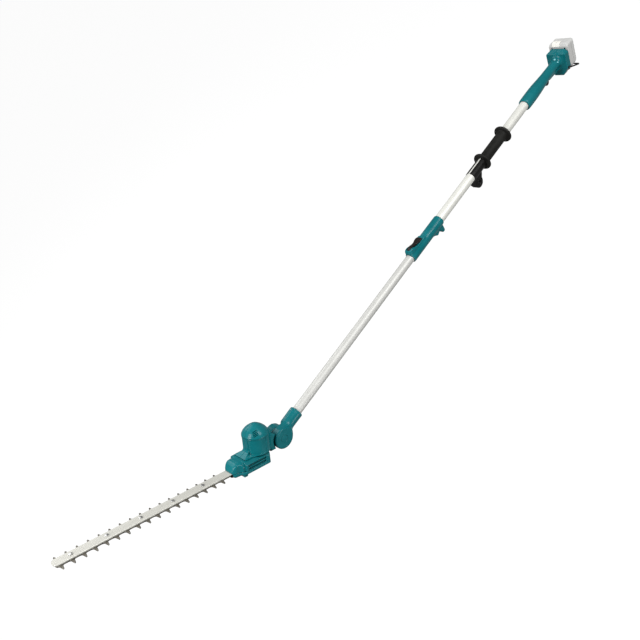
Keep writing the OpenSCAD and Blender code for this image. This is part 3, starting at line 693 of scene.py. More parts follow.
# by material slot, with a few extra looks that share a slot
FINISHES = {
    'teal_plastic': plastic(
        'teal_abs', (0.0006, 0.112, 0.128), roughness=0.24, specular=0.17, cavity=0.80,
        wear=0.012, grain=0.02),
    'black_plastic': plastic(
        'black_nylon', (0.0040, 0.0038, 0.0034), roughness=0.36, specular=0.15, cavity=0.4,
        variation=0.2, wear=0.012, grain=0.03),
    'lever': plastic(
        'black_lever', (0.0055, 0.0040, 0.0036), roughness=0.33, specular=0.16, cavity=0.4,
        variation=0.25, wear=0.015, grain=0.03),
    'black_rubber': rubber('grip_rubber', (0.0050, 0.0050, 0.0042)),
    'cable': rubber('cable_jacket', (0.010, 0.010, 0.010)),
    'pack_plastic': plastic(
        'pack_grey', (0.46, 0.46, 0.45), roughness=0.50, specular=0.3, cavity=0.35,
        variation=0.04, wear=0.02, grain=0.02),
    'white_plastic': plastic(
        'button_white', (0.72, 0.71, 0.66), roughness=0.34, specular=0.3, cavity=0.25,
        variation=0.03, wear=0.01, grain=0.02),
    'tube_alu': metal(
        'anodised_tube', (0.46, 0.46, 0.44), roughness=0.48, brush=(0.02, 1, 1), scale=420.0,
        relief=0.004, metallic=0.22, variation=0.02, anisotropy=0.0),
    # painted light: the rear tube takes a lighter copy of the same anodised tube finish, standing
    # in for a difference in light along the pole
    'rear_tube': metal(
        'anodised_tube_rear', (0.62, 0.62, 0.58), roughness=0.46, brush=(0.02, 1, 1),
        scale=420.0, relief=0.004, metallic=0.22, variation=0.02, anisotropy=0.0),
    'steel': metal(
        'zinc_steel', (0.58, 0.58, 0.57), roughness=0.30, brush=(1, 1, 1), scale=600.0,
        relief=0.05, variation=0.15, spots=0.15),
    'spring': metal(
        'spring_steel', (0.50, 0.50, 0.52), roughness=0.25, brush=(1, 1, 1), scale=900.0,
        relief=0.05),
    'blade_steel': metal(
        'blade_steel', (0.125, 0.115, 0.095), roughness=0.34, brush=(0.25, 1, 1), scale=500.0,
        relief=0.05, metallic=0.60, variation=0.22, spots=0.35),
    'bar': metal(
        'bar_steel', (0.49, 0.485, 0.445), roughness=0.44, brush=(0.06, 1, 1), scale=500.0,
        relief=0.01, metallic=0.25, variation=0.03, spots=0.03),
    'copper_core': metal(
        'core_copper', (0.62, 0.34, 0.18), roughness=0.35, brush=(1, 1, 0.05), scale=800.0,
        relief=0.2),
    'black_wire': plastic(
        'coated_wire', (0.0035, 0.0035, 0.0035), roughness=0.30, specular=0.25, cavity=0.1,
        variation=0.1, wear=0.01, grain=0.02),
    'lens': plastic(
        'lens_pale', (0.16, 0.46, 0.50), roughness=0.20, cavity=0.2, variation=0.05, wear=0.0,
        grain=0.03),
    'board': plastic('laminate_green', (0.02, 0.16, 0.06), roughness=0.35),
    'cell': plastic('cell_sleeve', (0.08, 0.22, 0.42), roughness=0.30),
    'bush': plastic('acetal_dark', (0.04, 0.04, 0.04), roughness=0.35),
}


# ================================================================ cutter head, HEAD frame
# Turned profiles are (along axis, radius). Outlines are in the two axes given to outline().
DOME = [(-8.0, 0), (-8.0, 38), (40.5, 38), (44.5, 37.7), (47.5, 36.3), (51.5, 34), (56, 30.4),
        (60.2, 26), (64.6, 20), (69, 13), (72.3, 6), (73.6, 0)]
DOME_INSIDE = [(-4.9, 0), (-4.9, 34.6), (40, 34.6), (45, 33.4), (49.8, 30.6), (53.6, 27),
               (53.6, 0)]
DOME_SCREWS = [(51.5, 31), (102.5, 31), (44, 16)]       # x, z


def head_joint(grid):
    """neck, disc and block that carry the dome on the tilt joint"""
    x, y, z = grid.axes
    neck_side = fillet(
        [(0, 27), (20, 22.5), (46, 31), (60, 36), (60, -8), (56, -8.3), (56, -26), (46, -32),
         (36, -34.5), (20, -33), (0, -27)],
        [0, 12, 10, 0, 0, 0.3, 4, 8, 8, 10, 0])
    neck = round_meet(4.0, outline(x, z, neck_side), slab(y, -27, -1))
    disc = cylinder(grid, 'y', (0, 0), -27, -1, 27.5, 3.0)
    block_side = fillet(
        [(24, 22), (40, 31), (50, 39), (62, 43), (62, -8), (56, -8.3), (56, -22), (24, -22)],
        [3, 6, 6, 0, 0, 0.3, 4, 3])
    block = blend_meet(outline(x, z, block_side), 33.3 - distance(x, z), 2.5)
    block = round_meet(5.0, block, slab(y, -4, 22.5))
    return blend_join(blend_join(neck, disc, 5), block, 4)


def head_nose(grid):
    """low nose in front of the dome"""
    x, y, z = grid.axes
    side = fillet([(70, -12), (70, 2), (112, 4), (125, -2), (137, -8), (137, -12)],
                  [0, 0, 6, 6, 1, 0])
    section = mirror_fillet([(28.5, -12), (28.5, -8), (22, -5.5), (13, 4.5)], [0, 1, 5, 4],
                            axis=0)
    return blend_meet(outline(x, z, side), outline(y, z, section), 2.5)


def cooling_slots(grid):
    """four slanted slots on each side of the dome, from 21 mm off its axis outward"""
    x, y, z = grid.axes
    forward = x - HOUSING_AXIS[0]
    slots = []
    for side in (-1, 1):
        bearing = math.radians(side * 56)
        cos, sin = math.cos(bearing), math.sin(bearing)
        outward = forward * cos + y * sin
        across = -forward * sin + y * cos
        for k in range(4):
            height = 50.4 + k * 3.3
            slot = round_meet(0.6, np.abs(across + side * (k - 1.5) * 0.8) - 6.4,
                              np.abs(z - height - across * (0.34 * side)) - 0.78)
            slots.append(meet(slot, 21 - outward))
    return slots


def build_head():
    grid = Grid((-33, -40, -35.5), (139, 38.5, 77), 0.66)
    x, y, z = grid.axes
    forward = x - HOUSING_AXIS[0]
    around = distance(forward, y)
    below_floor = -8.0 - z
    dome = turned(grid, 'z', HOUSING_AXIS, DOME)
    joint = head_joint(grid)
    # flat strip down the front
    solid = meet(dome, join(forward - 36.6, 43.0 - z))
    solid = blend_join(solid, joint, 7)
    solid = blend_join(solid, head_nose(grid), 5)
    solid = join(meet(solid, below_floor), joint)
    # rounded lower rim
    solid = np.where(x > 46, round_meet(1.1, solid, below_floor), solid)

    # sunk side fields below the dome edge, centred 60 degrees off forward
    bearing = np.degrees(np.arctan2(np.abs(y), forward))
    width = (np.abs(bearing - 60.0) - 41.0) * (math.pi / 180) * around
    field = meet(round_meet(2.5, width, slab(z, -2.5, 39.5)), 36.75 - around)
    solid = np.where(forward > -24, blend_meet(solid, -field, 0.5), solid)
    # line under the dome edge
    solid = groove(solid, z - 41.2, 1.3, 0.9, where=(around > 30) & (forward > -20))

    nose_cavity = [(70, -9), (70, -1.6), (111, 0.4), (122, -5.4), (128, -9)]
    solid = carve(
        solid,
        turned(grid, 'z', HOUSING_AXIS, DOME_INSIDE),
        cylinder(grid, 'z', HOUSING_AXIS, -9, 0, 20.4),
        cylinder(grid, 'y', (0, 0), -45, -8, 12),
        cylinder(grid, 'y', (0, 0), -9, 0, 4.2),
        box(grid, 14, 42, -23, -5, -20, 18),
        meet(outline(x, z, nose_cavity), slab(y, -11, 11)))
    # screw posts stay 1.2 mm below the outer skin
    skin = join(dome, joint) + 1.2
    for place in DOME_SCREWS:
        solid = join(solid, meet(cylinder(grid, 'y', place, -37, 37, 4.8), skin))
    solid = carve(solid, screw_holes(grid, 'y', DOME_SCREWS, outer=-60, tip=12, thread=2.05,
                                     seat=-13, head=3.7))
    solid = carve(solid, *cooling_slots(grid))
    add_halves('head_housing', 'head_shell', grid, solid, HEAD, 'head')


def build_case():
    """upper gear case, between the dome floor and the blades"""
    grid = Grid((54, -39, -36), (183, 39, -5), 0.62)
    x, y, z = grid.axes
    plan = outline(x, y, mirror_fillet(
        [(57, 28), (61, 36), (139, 36), (147.5, 33), (151.5, 25.8), (156, 23.2), (166, 22.2),
         (174, 18.5), (179.5, 12)],
        [5, 5, 5, 4, 5, 6, 12, 9, 8]))
    side = outline(x, z, fillet(
        [(55, -40), (55, -8.05), (152, -8.05), (162, -9.6), (171, -16), (177.5, -26),
         (180, -40)],
        [0, 0, 12, 14, 14, 10, 0]))
    solid = blend_meet(plan, side, 7.0)
    rear_section = outline(y, z, mirror_fillet([(37, -44), (37, -17), (27, -8.05)],
                                               [0, 3, 4], axis=0))
    nose_section = outline(y, z, mirror_fillet(
        [(30, -44), (30, -20), (24, -12), (12, -8.05)], [0, 8, 12, 12], axis=0))
    section = blend_join(meet(rear_section, x - 142), nose_section, 3)
    solid = blend_meet(solid, section, 1.5)
    above_top = z + 8.05
    solid = round_meet(0.8, meet(solid, above_top), above_top)
    solid = round_meet(0.5, solid, -34.02 - z)

    # sunk field along each side, with two long vents
    for side in (-1, 1):
        outward = y * side
        field = round_meet(2.6, slab(x, 71.5, 136), slab(z, -34.6, -16.0))
        solid = carve(solid, round_meet(0.01, field, 35.0 - outward))
        for height in (-20.8, -29.2):
            vent = round_meet(1.9, slab(x, 75, 133), slab(z, height - 2.5, height + 2.5))
            solid = carve(solid, meet(vent, 31.6 - outward))

    # stepped cavity, then the gear boss and screw posts inside it
    cavity_plan = mirror([(63.5, 26.5), (67, 30.2), (136, 30.2), (144, 24), (154, 19)])
    cavity = outline(x, y, cavity_plan)
    narrow = outline(x, y, [(px, py * 0.78) for px, py in cavity_plan])
    solid = carve(solid, meet(cavity, z + 22), meet(cavity, z + 15.5, x - 137),
                  meet(narrow, z + 12, x - 137))
    solid = join(solid, cylinder(grid, 'z', GEAR_AXIS, -19, -11.5, 14))
    roof = meet(plan, z + 11.9)
    for post in CASE_POSTS:
        solid = join(solid, meet(cylinder(grid, 'z', post, -34, -11.9, 4.4), roof))
    solid = carve(
        solid,
        cylinder(grid, 'z', GEAR_AXIS, -19.1, -12, 11.03),
        cylinder(grid, 'z', HOUSING_AXIS, -40, 0, 8),
        box(grid, 140, 200, -13.8, 13.8, -40, -32.2),
        *(cylinder(grid, 'z', post, -40, -16, 1.55) for post in CASE_POSTS))
    # crease where the nose leaves the case
    solid = groove(solid, x - 155.5, 0.9, 0.35, where=(x > 146) & (np.abs(y) < 21))
    add_solid('gear_case_upper', grid, solid, HEAD, 'head', 'gear_case', 'teal_plastic')


def blade_channel(grid, top):
    """stepped channel for the blades and, above them, the wider guide bar"""
    return join(box(grid, 140, 200, -12.5, 12.5, -43.2, top),
                box(grid, 140, 200, -13.8, 13.8, -36.5, top))


def build_under_cover():
    grid = Grid((54, -39, -54.5), (183, 39, -32), 0.62)
    x, y, z = grid.axes
    plan = mirror_fillet(
        [(57, 28), (61, 36), (139, 36), (147.5, 33), (151.5, 25.5), (156, 22.6), (166, 22.0),
         (172, 18.5), (173, 14.7), (162.1, 14.7)],
        [5, 5, 5, 4, 4, 4, 4, 3, 0.5, 0.4])
    inside = mirror([(63.5, 28.5), (68, 33), (136, 33), (146, 26), (150, 20)])
    belly = fillet(mirror([(70, 21), (78, 25.5), (136, 25.5), (144, 20), (162, 17)]), 3)
    front = mirror(fillet(
        [(146, 24), (158, 21.5), (166, 20.5), (170.5, 18), (171, 14.7), (162.1, 14.7)],
        [1, 4, 4, 3, 0.4, 0.4]))
    pocket = mirror([(73, 20.5), (80, 22.8), (134, 22.8), (142, 20.5), (148.5, 20.5)])

    solid = round_meet(2.2, outline(x, y, plan), slab(z, -43, -34.07))
    solid = carve(solid, meet(outline(x, y, inside), slab(z, -40.2, -30)))
    belly = round_meet(1.8, outline(x, y, belly), slab(z, -45.6, -40.1))
    solid = blend_join(solid, belly, 1.5)
    cross_rib = box(grid, 134, 147, -30, 30, -52.3, -40.2, 2.6)
    solid = blend_join(solid, cross_rib, 2.0)
    front = round_meet(1.6, outline(x, y, front), slab(z, -46.4, -41))
    solid = blend_join(solid, front, 1.5)
    gear_boss = cylinder(grid, 'z', GEAR_AXIS, -49.6, -44, 10.5, 1.5)
    solid = blend_join(solid, gear_boss, 1.5)
    for post in CASE_POSTS:
        solid = join(solid, cylinder(grid, 'z', post, -43, -34.07, 4.4))
    solid = carve(
        solid,
        meet(outline(x, y, pocket), slab(z, -43.2, -20)),
        cylinder(grid, 'z', GEAR_AXIS, -48.3, -40, 8.03),
        blade_channel(grid, top=-20),
        screw_holes(grid, 'z', CASE_POSTS, outer=-60, tip=-30, thread=1.55, seat=-40,
                    head=3.1))
    # drain slots in the belly
    for k in range(5):
        slot = round_meet(0.6, slab(y, -7, 7), slab(x, 80.5 + k * 3.8, 82.2 + k * 3.8))
        solid = carve(solid, round_meet(0.01, slot, slab(z, -60, -42)))
    # the nose bumper sits in front of this face
    solid = np.where(np.abs(y) < 14.7, meet(solid, x - 162), solid)
    add_solid('gear_cover_lower', grid, solid, HEAD, 'head', 'under_cover', 'teal_plastic')


def build_nose_bumper():
    grid = Grid((160.5, -21, -47.5), (180, 21, -32.5), 0.5)
    x, y, z = grid.axes
    plan = mirror_fillet([(162.1, 14.5), (173, 14.5), (177, 11)], [0.5, 4, 4])
    solid = round_meet(1.4, outline(x, y, plan), slab(z, -45.6, -36.6))
    solid = meet(solid, 162.05 - x)
    solid = carve(solid, blade_channel(grid, top=-30),
                  cylinder(grid, 'z', (168, 0), -60, -30, 6.2))
    add_solid('nose_bumper', grid, solid, HEAD, 'head', 'nose_guard', 'black_plastic')


# ================================================================ head socket, POLE frame
def build_socket():
    """sleeve on the front tube, widening into the left half of the tilt joint"""
    grid = Grid((-95, -33, -33), (33, 33, 33), 0.62)
    x, y, z = grid.axes
    from_pivot = distance(x, z)
    sleeve = turned(grid, 'x', (0, 0), [
        (-85.5, 0), (-85.5, 18.4), (-84.9, 19.2), (-83.8, 19.6), (-80, 19.6), (-40, 19.2),
        (-20, 18.2), (-8, 15), (-2, 9), (-2, 0)])
    sleeve = np.where(x > -36, meet(sleeve, blend_meet(1 - y, -60 - x, 1)), sleeve)
    knuckle = cylinder(grid, 'y', (-0.6, -0.6), 1, 27, 31.2, 4.2)
    solid = blend_join(sleeve, knuckle, 17)
    solid = np.where(x > -36.5, meet(solid, 1.0 - y), solid)
    collar = turned(grid, 'x', (0, 0), [
        (-60, 0), (-60, 18.6), (-36, 18.6), (-33, 17.5), (-31, 15.5), (-31, 0)])
    solid = join(solid, collar)
    # the head's disc turns in here
    solid = carve(
        solid,
        meet(from_pivot - 30.6, y - 1.0),
        cylinder(grid, 'x', (0, 0), -96, -35.9, FRONT_TUBE + 0.05),
        cylinder(grid, 'x', (0, 0), -36.2, -31.5, 8),
        cylinder(grid, 'y', (0, 0), -2, 20, 4.06),
        cylinder(grid, 'y', (0, 0), 19.9, 40, 9),
        cylinder(grid, 'y', (0, 0), 25.9, 40, 10.95),
        meet(from_pivot - 24.2, 15.8 - from_pivot, slab(y, -1, 3.6)))
    # ring line near the mouth of the sleeve
    solid = groove(solid, x + 80.6, 0.9, 0.45, where=(x < -60) & (distance(y, z) > 17))
    screws = [(-50, 16.6), (-78, 16.6), (-50, -16.6), (-78, -16.6)]
    solid = carve(solid, screw_holes(grid, 'y', screws, outer=-40, tip=6, thread=1.05,
                                     seat=-5.5, head=2.3))
    add_halves('socket_half', 'socket_shell', grid, solid, POLE, 'front_pole')


def build_pivot_cover():
    """cap over the tilt pivot, on the left"""
    profile = [(24.8, 0.01), (24.8, 6), (26.0, 6), (26.0, 10.75), (26.75, 10.75),
               (27.0, 10.5), (27.1, 9.8), (27.15, 0.01)]
    add_mesh('pivot_cover', lathe(profile, 64, 'y'), POLE, 'front_pole', 'pivot_cap',
             'teal_plastic', sharp=35)


# ================================================================ telescopic coupling, POLE frame
def build_coupling():
    grid = Grid((-855, -20.5, -46.5), (-678, 20.5, 33), 0.66)
    x, y, z = grid.axes
    hook_side = smooth_line([
        (-850, -8), (-852, -20), (-852.5, -35), (-849.5, -42), (-843.5, -43.8),
        (-838.6, -41.6), (-838.0, -37), (-836.5, -32.5), (-831, -29.2), (-825, -28.4),
        (-821, -30.6), (-816.5, -32.2), (-811.5, -30.4), (-804, -24.5), (-794, -18.6),
        (-790, -8)], 5)
    saddle_side = fillet(
        [(-768, 4), (-760, 19.0), (-740, 19.6), (-712, 21.5), (-700, 24), (-690, 24),
         (-685, 18), (-684, 4)],
        [0, 4, 12, 10, 6, 4, 4, 0])
    cup_side = fillet(
        [(-716, 6), (-713, 18), (-706.5, 26), (-697, 29.8), (-686.5, 29.4), (-681.6, 23),
         (-681.8, 6)],
        [0, 5, 6, 6, 5, 4, 0])
    bed_side = fillet(
        [(-757, 40), (-757, 22.0), (-750.5, 18.9), (-702, 18.9), (-697, 16.8),
         (-691.5, 16.4), (-687.2, 19.0), (-686.0, 24), (-688, 31), (-690, 40)], 1.0)

    solid = turned(grid, 'x', (0, 0), [
        (-850, 0), (-850, 17.4), (-849.2, 18.1), (-848, 18.3), (-690, 18.3), (-685, 18.1),
        (-683.4, 17.4), (-683, 16.6), (-683, 0)])
    hook = round_meet(2.2, outline(x, z, hook_side), slab(y, -7, 7))
    saddle = round_meet(3.5, outline(x, z, saddle_side), slab(y, -13.4, 13.4))
    cup = round_meet(4.5, outline(x, z, cup_side), slab(y, -12.6, 12.6))
    solid = blend_join(solid, hook, 3.5)
    solid = blend_join(solid, saddle, 2.5)
    solid = blend_join(solid, cup, 4)
    solid = meet(solid, -850 - x)
    # bed of the lever, wider under its rear end
    bed = round_meet(0.5, outline(x, z, bed_side), slab(y, -7.3, 7.3))
    wide_bed = meet(slab(x, -756, -716), np.abs(y) - 12.8, 19.1 - z)
    solid = carve(
        solid, bed, wide_bed,
        cylinder(grid, 'x', (0, 0), -870, -712, REAR_TUBE + 0.06),
        cylinder(grid, 'x', (0, 0), -712.1, -684.8, 14.92),
        cylinder(grid, 'x', (0, 0), -688, -660, 14.3),
        cylinder(grid, 'y', LEVER_PIVOT, -13, 13, 2.05),
        box(grid, -699.2, -688.8, -6.2, 6.2, 10, 20),
        screw_holes(grid, 'y', [(-846, -33), (-813, -24)], outer=-20, tip=5, thread=1.55,
                    seat=-5.4, head=2.95))
    add_halves('coupling_half', 'coupling_shell', grid, solid, POLE, 'pole')


def build_cam_lever():
    grid = Grid((-756, -14, 15), (-685, 14, 33), 0.42)
    x, y, z = grid.axes
    side = smooth_line([
        (-693, 17.9), (-688.9, 19.6), (-687.4, 23.5), (-689, 27.0), (-696, 30.0),
        (-706, 29.4), (-716, 26.2), (-728, 23.8), (-742, 24.2), (-748.5, 23.4),
        (-751, 21.4), (-748.4, 19.3)], 4) + [(-702, 19.2), (-697, 18.0)]
    plan = fillet(
        [(-686, -6.8), (-708, -6.8), (-722, -7.0), (-734, -11.0), (-745, -11.0), (-751, -8),
         (-752, 0), (-751, 8), (-745, 11.0), (-734, 11.0), (-722, 7.0), (-708, 6.8),
         (-686, 6.8)],
        [0, 8, 10, 8, 6, 6, 8, 6, 6, 8, 10, 8, 0])
    solid = round_meet(1.6, outline(x, z, side), outline(x, y, plan))
    finger_dish = np.sqrt(((x + 738) / 1.5) ** 2 + y * y + (z - 33.2) ** 2) - 9.4
    solid = blend_meet(solid, -finger_dish, 1.0)
    solid = carve(solid, cylinder(grid, 'y', LEVER_PIVOT, -13, 13, 2.05),
                  meet(distance(y, z) - 18.6, x + 700))
    add_solid('cam_lever', grid, solid, POLE, 'lock_lever', 'lock_lever', 'black_plastic',
              finish='lever', keep=0.5)


# ================================================================ rear handle, POLE frame
HANDLE = [(-1405, 0), (-1405, 19.4), (-1405.8, 20.6), (-1408, 21.3), (-1416, 21.8),
          (-1430, 22.0), (-1450, 22.05), (-1470, 21.8), (-1485, 21.3), (-1500, 20.5),
          (-1520, 19.1), (-1540, 17.8), (-1560, 16.9), (-1580, 16.3), (-1604, 15.9),
          (-1620, 16.8), (-1636, 17.5), (-1646, 18), (-1646, 0)]
HANDLE_INSIDE = [(-1700, 0), (-1700, 13), (-1606, 13.2), (-1560, 13.4), (-1508, 15.4),
                 (-1480, 17.2), (-1455.5, 17.4), (-1455.5, 0)]
HANDLE_SCREWS = [(-1468, 0), (-1512, 0), (-1604, -2)]   # x, z
SEAT_SCREWS = (-38, 22.5)                               # z in the SEAT frame


def build_handle():
    grid = Grid((-1668, -40, -58), (-1401, 40, 41), 0.74)
    x, y, z = grid.axes
    cos, sin = math.cos(SEAT_LEAN), math.sin(SEAT_LEAN)
    seat_x = (x + 1650) * cos + (z + 6) * sin
    seat_z = -(x + 1650) * sin + (z + 6) * cos
    # grip, with one swelling before the trigger and one behind it
    front_swell = fillet(
        [(-1436, -8), (-1450, -20.0), (-1500, -21.6), (-1525, -20.0), (-1532, -17),
         (-1532, -8)], [0, 10, 10, 6, 4, 0])
    rear_swell = fillet(
        [(-1560.5, -8), (-1560.5, -17), (-1563.5, -20), (-1573, -21.3), (-1590, -22.5),
         (-1648, -27), (-1648, -8)], [0, 2, 3, 10, 10, 0, 0])
    front_swell = round_meet(3.0, outline(x, z, front_swell), slab(y, -8.4, 8.4))
    rear_swell = round_meet(3.5, outline(x, z, rear_swell), slab(y, -8.6, 8.6))
    body = turned(grid, 'x', (0, 0), HANDLE)
    body = blend_join(body, front_swell, 4)
    body = blend_join(body, rear_swell, 6)
    # battery seat with a sloped upper facet
    seat = outline(y, seat_z, mirror_fillet([(25, 41), (37, 31), (37, -22), (17, -48.5)],
                                            [4, 5, 5, 4], axis=0))
    block = round_meet(2.2, seat, slab(seat_x, -13.9, 10))
    slope = (seat_z - 31.2) * 0.78 + (seat_x - 9.6) * 0.63
    block = blend_meet(block, slope, 1.2)
    solid = blend_join(body, block, 15)
    solid = meet(solid, -13.9 - seat_x)
    solid = blend_meet(solid, seat, 1.0)

    # inner space, 3 mm inside the seat
    seat_inside = seat + 3.0
    solid = carve(
        solid,
        turned(grid, 'x', (0, 0), HANDLE_INSIDE),
        meet(seat_inside, seat_x + 7, -16 - seat_x),
        meet(seat_inside, slab(seat_x, -12, 6.6), seat_z - 27))
    # screw posts
    for place in HANDLE_SCREWS:
        solid = join(solid, meet(cylinder(grid, 'y', place, -22, 22, 4.6), body + 1.0))
    for height in SEAT_SCREWS:
        post = meet(distance(seat_x, seat_z - height) - 4.2, np.abs(y) - 15)
        web = meet(slab(seat_x, 2, 8), np.abs(seat_z - height) - 1.6, np.abs(y) - 14)
        solid = join(solid, post, web)

    trigger_opening = box(grid, -1566, -1526, -7, 7, -60, -8, 0.8)
    solid = carve(
        solid, trigger_opening,
        cylinder(grid, 'x', (0, 0), -1456, -1400, REAR_TUBE + 0.06),
        cylinder(grid, 'y', TRIGGER_PIVOT, -11.4, 11.4, 1.52),
        cylinder(grid, 'y', (-1588, -3), -40, -4, 5.15),
        screw_holes(grid, 'y', HANDLE_SCREWS, outer=-40, tip=12, thread=2.05, seat=-13,
                    head=3.65))
    for height in SEAT_SCREWS:
        around = distance(seat_x, seat_z - height)
        solid = carve(solid, meet(around - 2.05, y - 12), meet(around - 3.65, y + 13))
    # two round holes on top that lean left: degrees from z, x, radius
    for lean, place, radius in ((-15, -1626, 3.6), (-58, -1624, 2.6)):
        lean = math.radians(lean)
        across = y * math.cos(lean) + z * math.sin(lean)
        outward = -y * math.sin(lean) + z * math.cos(lean)
        solid = carve(solid, meet(distance(x - place, across) - radius, 10 - outward))
    for side in (-1, 1):
        solid = carve(solid, cylinder(grid, 'y', BAIL_PIVOT, side * 35 - 7, side * 35 + 7, 2.8))
    # ring line at the tube mouth
    solid = groove(solid, x + 1409.4, 0.9, 0.5, where=(x > -1425) & (distance(y, z) > 17))
    add_halves('handle_half', 'handle_shell', grid, solid, POLE, 'pole')


def build_trigger():
    grid = Grid((-1565.5, -8, -31), (-1525.5, 8, -6.5), 0.42)
    x, y, z = grid.axes
    finger_side = smooth_line([
        (-1528.2, -16.5), (-1534, -20.6), (-1542, -26.2), (-1548, -28.9), (-1553.5, -28.7),
        (-1558, -26), (-1561, -21.5), (-1563, -15.5)], 4)
    side = [(-1527.5, -8.5), (-1527.5, -14)] + finger_side + [(-1563.5, -8.5)]
    solid = round_meet(2.2, outline(x, z, side), slab(y, -6.4, 6.4))
    solid = carve(solid, cylinder(grid, 'y', TRIGGER_PIVOT, -9, 9, 1.55),
                  box(grid, -1559, -1537, -4.6, 4.6, -18, -8))
    for k in range(5):
        solid = groove(solid, x - (-1554 + k * 3.2), 0.8, 0.45, where=z < -17)
    add_solid('trigger_lever', grid, solid, POLE, 'trigger', 'trigger', 'black_plastic',
              keep=0.5)


# ================================================================ battery, SEAT frame
def build_pack():
    grid = Grid((-65, -39.5, -49), (-12, 39.5, 60.5), 0.66)
    x, y, z = grid.axes
    side = fillet(
        [(-14.6, -46), (-14.6, 46), (-21, 57.5), (-56, 57.5), (-62, 51), (-62, -16),
         (-46, -31), (-42, -46)], [1, 3, 4, 6, 6, 5, 5, 3])
    plan = mirror_fillet([(-14, 36), (-17, 37), (-54, 37), (-62.5, 29.5)], [1, 3, 6, 6])
    section = mirror_fillet([(29, 58), (37, 50), (37, -25), (17, -46.5)], [7, 7, 5, 4], axis=0)
    full = blend_meet(outline(x, z, side), outline(x, y, plan), 3.0)
    full = blend_meet(full, outline(y, z, section), 3.0)
    solid = full
    # sunk field with three upright ribs on each side
    for sign in (-1, 1):
        outward = y * sign
        field = round_meet(3, slab(x, -56.5, -43.5), slab(z, -10, 40))
        solid = carve(solid, meet(field, 36.2 - outward))
        for k in range(3):
            width = slab(x, -54.6 + k * 4.2, -53.0 + k * 4.2 + 0.6)
            rib = round_meet(0.9, width, slab(z, -7, 37))
            rib = round_meet(0.5, rib, slab(outward, 30, 36.9))
            solid = join(solid, meet(rib, full - 0.4))

    # T-slots and narrow slots in the face toward the handle
    for sign in (-1, 1):
        rail, contact = sign * 24, sign * 9
        solid = carve(solid,
                      box(grid, -20.7, -17.3, rail - 4, rail + 4, -60, 42),
                      box(grid, -18, -10, rail - 2.6, rail + 2.6, -60, 42),
                      box(grid, -20.8, -10, contact - 1, contact + 1, -60, 22))
    button_recess = [(-14, 45.8), (-10, 45.8), (-10, 70), (-37, 70), (-37, 53.6),
                     (-25.6, 53.6), (-20.9, 45.8)]
    solid = carve(solid, meet(outline(x, z, button_recess), slab(y, -25.3, 5.3)),
                  box(grid, -57.2, -23, -33, 33, -20, 48),
                  *(cylinder(grid, 'y', cell, -33, 33, 9.1)
                    for cell in product((-30.2, -48.4), (-13.5, 4.9, 23.3, 41.7))))
    # seam round the pack, where the case splits
    seam = -39.3
    solid = groove(solid, x - seam, 1.1, 0.7, where=np.abs(x - seam) < 3)
    add_solid('pack_case_inner', grid, meet(solid, (seam + SPLIT_GAP) - x), SEAT, 'battery',
              'battery_case_inner', 'pack_plastic')
    add_solid('pack_case_outer', grid, meet(solid, x - (seam - SPLIT_GAP)), SEAT, 'battery',
              'battery_case_outer', 'pack_plastic')


def build_pack_button():
    grid = Grid((-36, -27, 44), (-12.5, 7, 60), 0.42)
    x, y, z = grid.axes
    side = fillet([(-14.8, 46.1), (-21.3, 58.3), (-34, 58.3), (-34, 54), (-22.5, 54),
                   (-18, 46.1)], [0.5, 1.5, 0.8, 0.3, 1, 0.5])
    solid = round_meet(0.9, outline(x, z, side), slab(y, -25, 5))
    for k in range(4):
        solid = groove(solid, x + (24.6 + k * 2.4), 0.9, 0.45)
    add_solid('pack_release_button', grid, solid, SEAT, 'battery_button', 'battery_button',
              'white_plastic', keep=0.5)


# ================================================================ strap hanger, POLE frame
def build_hanger():
    """sleeve on the rear tube with an eye hanging below it"""
    grid = Grid((-1121, -20, -63.5), (-1032, 20, 21), 0.6)
    x, y, z = grid.axes
    web_side = fillet(
        [(-1100, -10), (-1099, -18), (-1095, -27), (-1089, -35), (-1087, -46), (-1056, -50),
         (-1044, -42), (-1036.5, -27), (-1034.5, -16.5), (-1040, -10)],
        [0, 6, 8, 8, 3, 5, 6, 6, 2.5, 0])
    sleeve = cylinder(grid, 'x', (0, 0), -1118.4, -1046, 17.65, 0.8)
    web = round_meet(1.8, outline(x, z, web_side), slab(y, -6, 6))
    solid = blend_join(sleeve, web, 3.0)
    solid = blend_join(solid, cylinder(grid, 'y', HANGER_EYE, -6, 6, 18.5, 2.0), 2.0)
    from_eye = distance(x - HANGER_EYE[0], z - HANGER_EYE[1])
    flared_hole = from_eye - 6.5 - np.maximum(np.abs(y) - 4.6, 0) * 0.9
    # shallow ring sunk round the eye on both faces
    sunk_ring = meet(from_eye - 15.4, 10.2 - from_eye, 5.3 - np.abs(y))
    solid = carve(solid, flared_hole,
                  cylinder(grid, 'x', (0, 0), -1130, -1020, REAR_TUBE + 0.1),
                  box(grid, -1130, -1020, -3.4, 3.4, 0, 40), sunk_ring)
    for place in (-1114.5, -1050):
        solid = groove(solid, x - place, 0.9, 0.4, where=distance(y, z) > 16.5)
    # the hanger is its own body only in some CAD records
    body = 'strap_hanger' if 'strap_hanger' in cad['bodies'] else 'pole'
    add_solid('strap_hanger_ring', grid, solid, POLE, body, 'hanger_clamp', 'black_plastic')


# ================================================================ tubes, grip, bail, POLE frame
def build_tube(name, rear, front, outer, body, replaced, finish=None):
    inner = outer - TUBE_WALL
    profile = [(rear + 0.4, outer), (rear + 20, outer), (front - 20, outer),
               (front - 0.4, outer), (front, outer - 0.4), (front, inner + 0.3),
               (front - 0.3, inner), (rear + 0.3, inner), (rear, inner + 0.3),
               (rear, outer - 0.4)]
    add_mesh(name, lathe(profile, 112), POLE, body, replaced, 'tube_alu', finish, sharp=35)


